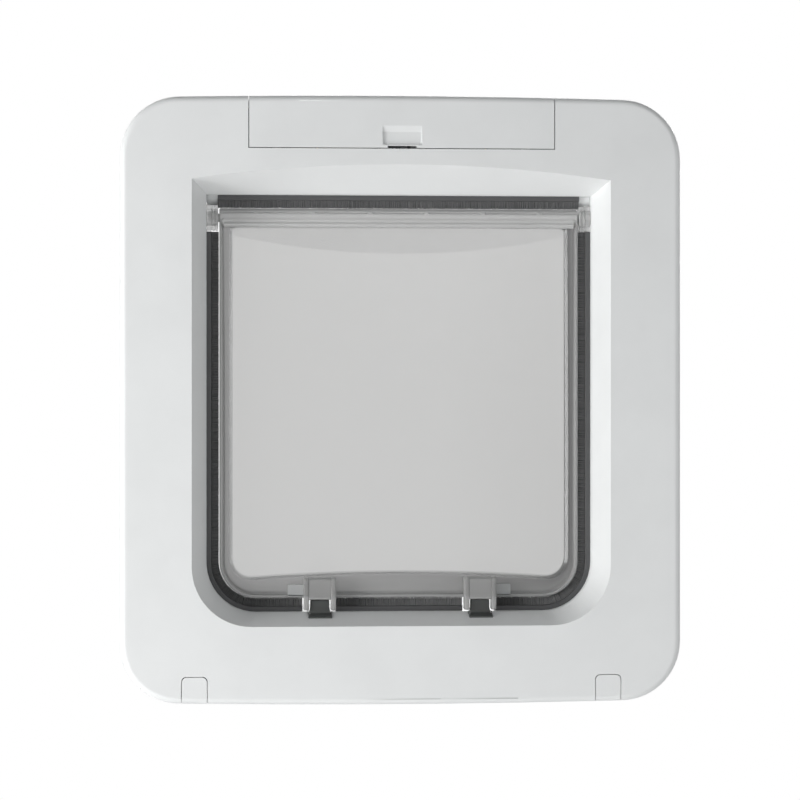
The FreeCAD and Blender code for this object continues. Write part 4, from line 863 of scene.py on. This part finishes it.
catchSizes = {
    "place": 0.038, "half": 0.005, "neck": 0.0045, "front": -0.0162, "back": -0.0118, "foot": -0.124,
    "top": -0.0943, "flareStart": -0.0982, "flareEnd": -0.1006, "round": 0.0005,
    "pinDrop": -0.121, "pinRadius": 0.0015, "pinFront": -0.0204, "pinBack": -0.014, "pinSides": 32,
}


# A catch: sections up Z that narrow at the neck above the sill, with the cam pin as a second closed surface
def makeCatch(c, side):
    sign = 1 if side == "right" else -1
    foot, top, neck = c["foot"], c["top"], c["neck"]
    z = np.array([foot, foot + 0.0003, c["flareEnd"], c["flareStart"], top - 0.0011, top - 0.0004, top])
    half = np.array([c["half"] - 0.0003, c["half"], c["half"], neck, neck, neck - 0.0001, neck - 0.0005])
    near = c["front"] + np.array([0.0003, 0, 0, 0, 0, 0.0002, 0.0008])
    far = c["back"] - np.array([0.0003, 0, 0, 0, 0, 0.0001, 0.0005])
    x, y = roundedSections(half, near, far, np.full(len(z), c["round"]))
    body = np.stack([sign * c["place"] + x, y, np.broadcast_to(z[:, None], x.shape)], 2)
    name = "catch_" + side
    piece = gridPiece(name + "_dog", body, finishes["dark_plastic"], name, (name,),
                      closedColumns=True, caps=True)
    turn = np.linspace(0, 2 * np.pi, c["pinSides"] + 1)[:-1]
    y = np.array([c["pinBack"], c["pinFront"] + 0.0003, c["pinFront"]])
    radius = np.array([c["pinRadius"], c["pinRadius"], c["pinRadius"] - 0.0003])[:, None]
    depth = np.broadcast_to(y[:, None], (len(y), len(turn)))
    pin = np.stack([sign * c["place"] + radius * np.cos(turn), depth, c["pinDrop"] + radius * np.sin(turn)], 2)
    gridPiece(name + "_pin", pin, finishes["dark_plastic"], name, (),
              closedColumns=True, caps=True)
    return piece


guideSizes = {
    "place": 0.038, "half": 0.0055, "front": -0.0173, "back": -0.0107, "foot": -0.109, "top": -0.1008,
    "slotHalf": 0.0052, "slotFront": -0.0164, "slotBack": -0.0116,
    "noseStops": (-0.0168, -0.0173, -0.0186, -0.0199, -0.0212, -0.0219), "noseEnd": -0.0222,
    "noseHalf": 0.0057, "noseDrop": 0.0013,
    "floorStart": -0.1003, "floorFrom": -0.014, "floorFall": 0.3056,
}


# A guide: a collar round the catch, outer wall up and slot wall down, and a nose that widens down the slope
def makeCatchGuide(g, side):
    place = g["place"] if side == "right" else -g["place"]
    half = [g["half"] - 0.0003, g["half"], g["half"], g["half"] - 0.0002, g["slotHalf"], g["slotHalf"]]
    near = [g["front"] + 0.0003, g["front"], g["front"], g["front"] + 0.0002, g["slotFront"], g["slotFront"]]
    far = [g["back"] - 0.0003, g["back"], g["back"], g["back"] - 0.0002, g["slotBack"], g["slotBack"]]
    z = np.array([g["foot"], g["foot"] + 0.0003, g["top"] - 0.0002, g["top"], g["top"], g["foot"]])
    x, y = roundedSections(half, near, far, [0.0005] * 4 + [0.0003] * 2)
    collar = np.stack([place + x, y, np.broadcast_to(z[:, None], x.shape)], 2)
    name = "catch_guide_" + side
    piece = gridPiece(name + "_collar", collar, finishes["dark_plastic"], "frame", (name,),
                      closedRows=True, closedColumns=True)
    y = np.array(g["noseStops"] + (g["noseEnd"],))
    share = np.clip((g["front"] - y) / (g["front"] - g["noseEnd"]), 0, 1)
    half = g["half"] + (g["noseHalf"] - g["half"]) * share - np.array([0, 0, 0, 0, 0, 0.0, 0.0003])
    low = g["floorStart"] + g["floorFall"] * (y - g["floorFrom"]) + 0.00003
    high = g["top"] - g["noseDrop"] * share - np.array([0, 0, 0, 0, 0, 0.0001, 0.0004])
    x, z = roundedSections(half, low, high, np.minimum(0.00025, (high - low) * 0.4))
    nose = np.stack([place + x, np.broadcast_to(y[:, None], x.shape), z], 2)
    gridPiece(name + "_nose", nose, finishes["dark_plastic"], "frame", (),
              closedColumns=True, caps=True)
    return piece


# A lug on the tunnel's roof above each bush: sections down Z that taper towards the bush
def makeBushLug(b, side):
    sign = 1 if side == "right" else -1
    z = np.array([b["top"] - 0.0001, b["top"] + 0.0003, b["top"] + 0.0024, b["roof"] + 0.0002])
    half = (b["outer"] - b["inner"]) / 2 + np.array([-0.0006, -0.0003, 0.0, 0.0])
    near = b["lugFront"] + np.array([0.0006, 0.0003, 0.0, -0.0008])
    x, y = roundedSections(half, near, b["lugBack"], np.full(len(z), 0.0004))
    lug = np.stack([sign * (b["inner"] + b["outer"]) / 2 + x, y, np.broadcast_to(z[:, None], x.shape)], 2)
    return gridPiece("bush_lug_" + side, lug, finishes["white_plastic"], "frame", (),
                     closedColumns=True, caps=True)


for side in ("left", "right"):
    makeHingeBush(bushSizes, side)
    makeBushLug(bushSizes, side)
    makeCatch(catchSizes, side)
    makeCatchGuide(guideSizes, side)
print("bushes, catches and guides made")

# The threads show between the two frames; each place is a screw's X and Z
threadSizes = {
    "places": ((-0.097, -0.1345), (0.097, -0.1345), (0.0, 0.1185)), "start": 0.0012, "end": 0.0385,
    "shank": 0.002, "ridge": 0.00032, "pitch": 0.0016, "perTurn": 8, "sides": 18, "runOut": 0.0016,
}


# A thread: the radius over a grid of depth and angle is the shank's plus a pointed wave of (depth / pitch -
# angle / full turn), which fades at both ends, closed inside the shank
def makeThread(t, number, centre):
    rows = int((t["end"] - t["start"]) / t["pitch"] * t["perTurn"])
    y = np.linspace(t["start"], t["end"], rows)[:, None]
    turn = np.linspace(0, 2 * np.pi, t["sides"] + 1)[:-1][None]
    phase = np.mod(y / t["pitch"] - turn / (2 * np.pi), 1.0)
    crest = np.clip(1 - np.abs(phase - 0.5) / 0.32, 0, 1)
    fade = np.clip(np.minimum(y - t["start"], t["end"] - y) / t["runOut"], 0, 1)
    radius = t["shank"] + 0.00002 + t["ridge"] * crest * fade
    inner = np.full((2, t["sides"]), t["shank"] - 0.0002)
    radius = np.concatenate([radius, inner])
    y = np.concatenate([y, [[t["end"]], [t["start"]]]])
    depth = np.broadcast_to(y, radius.shape)
    points = np.stack([centre[0] + radius * np.sin(turn), depth, centre[1] + radius * np.cos(turn)], 2)
    return gridPiece("screw_thread_%d" % number, points, finishes["screw_steel"], "frame", (),
                     closedRows=True, closedColumns=True)


for number, centre in enumerate(threadSizes["places"]):
    makeThread(threadSizes, number + 1, centre)
print("threads made")
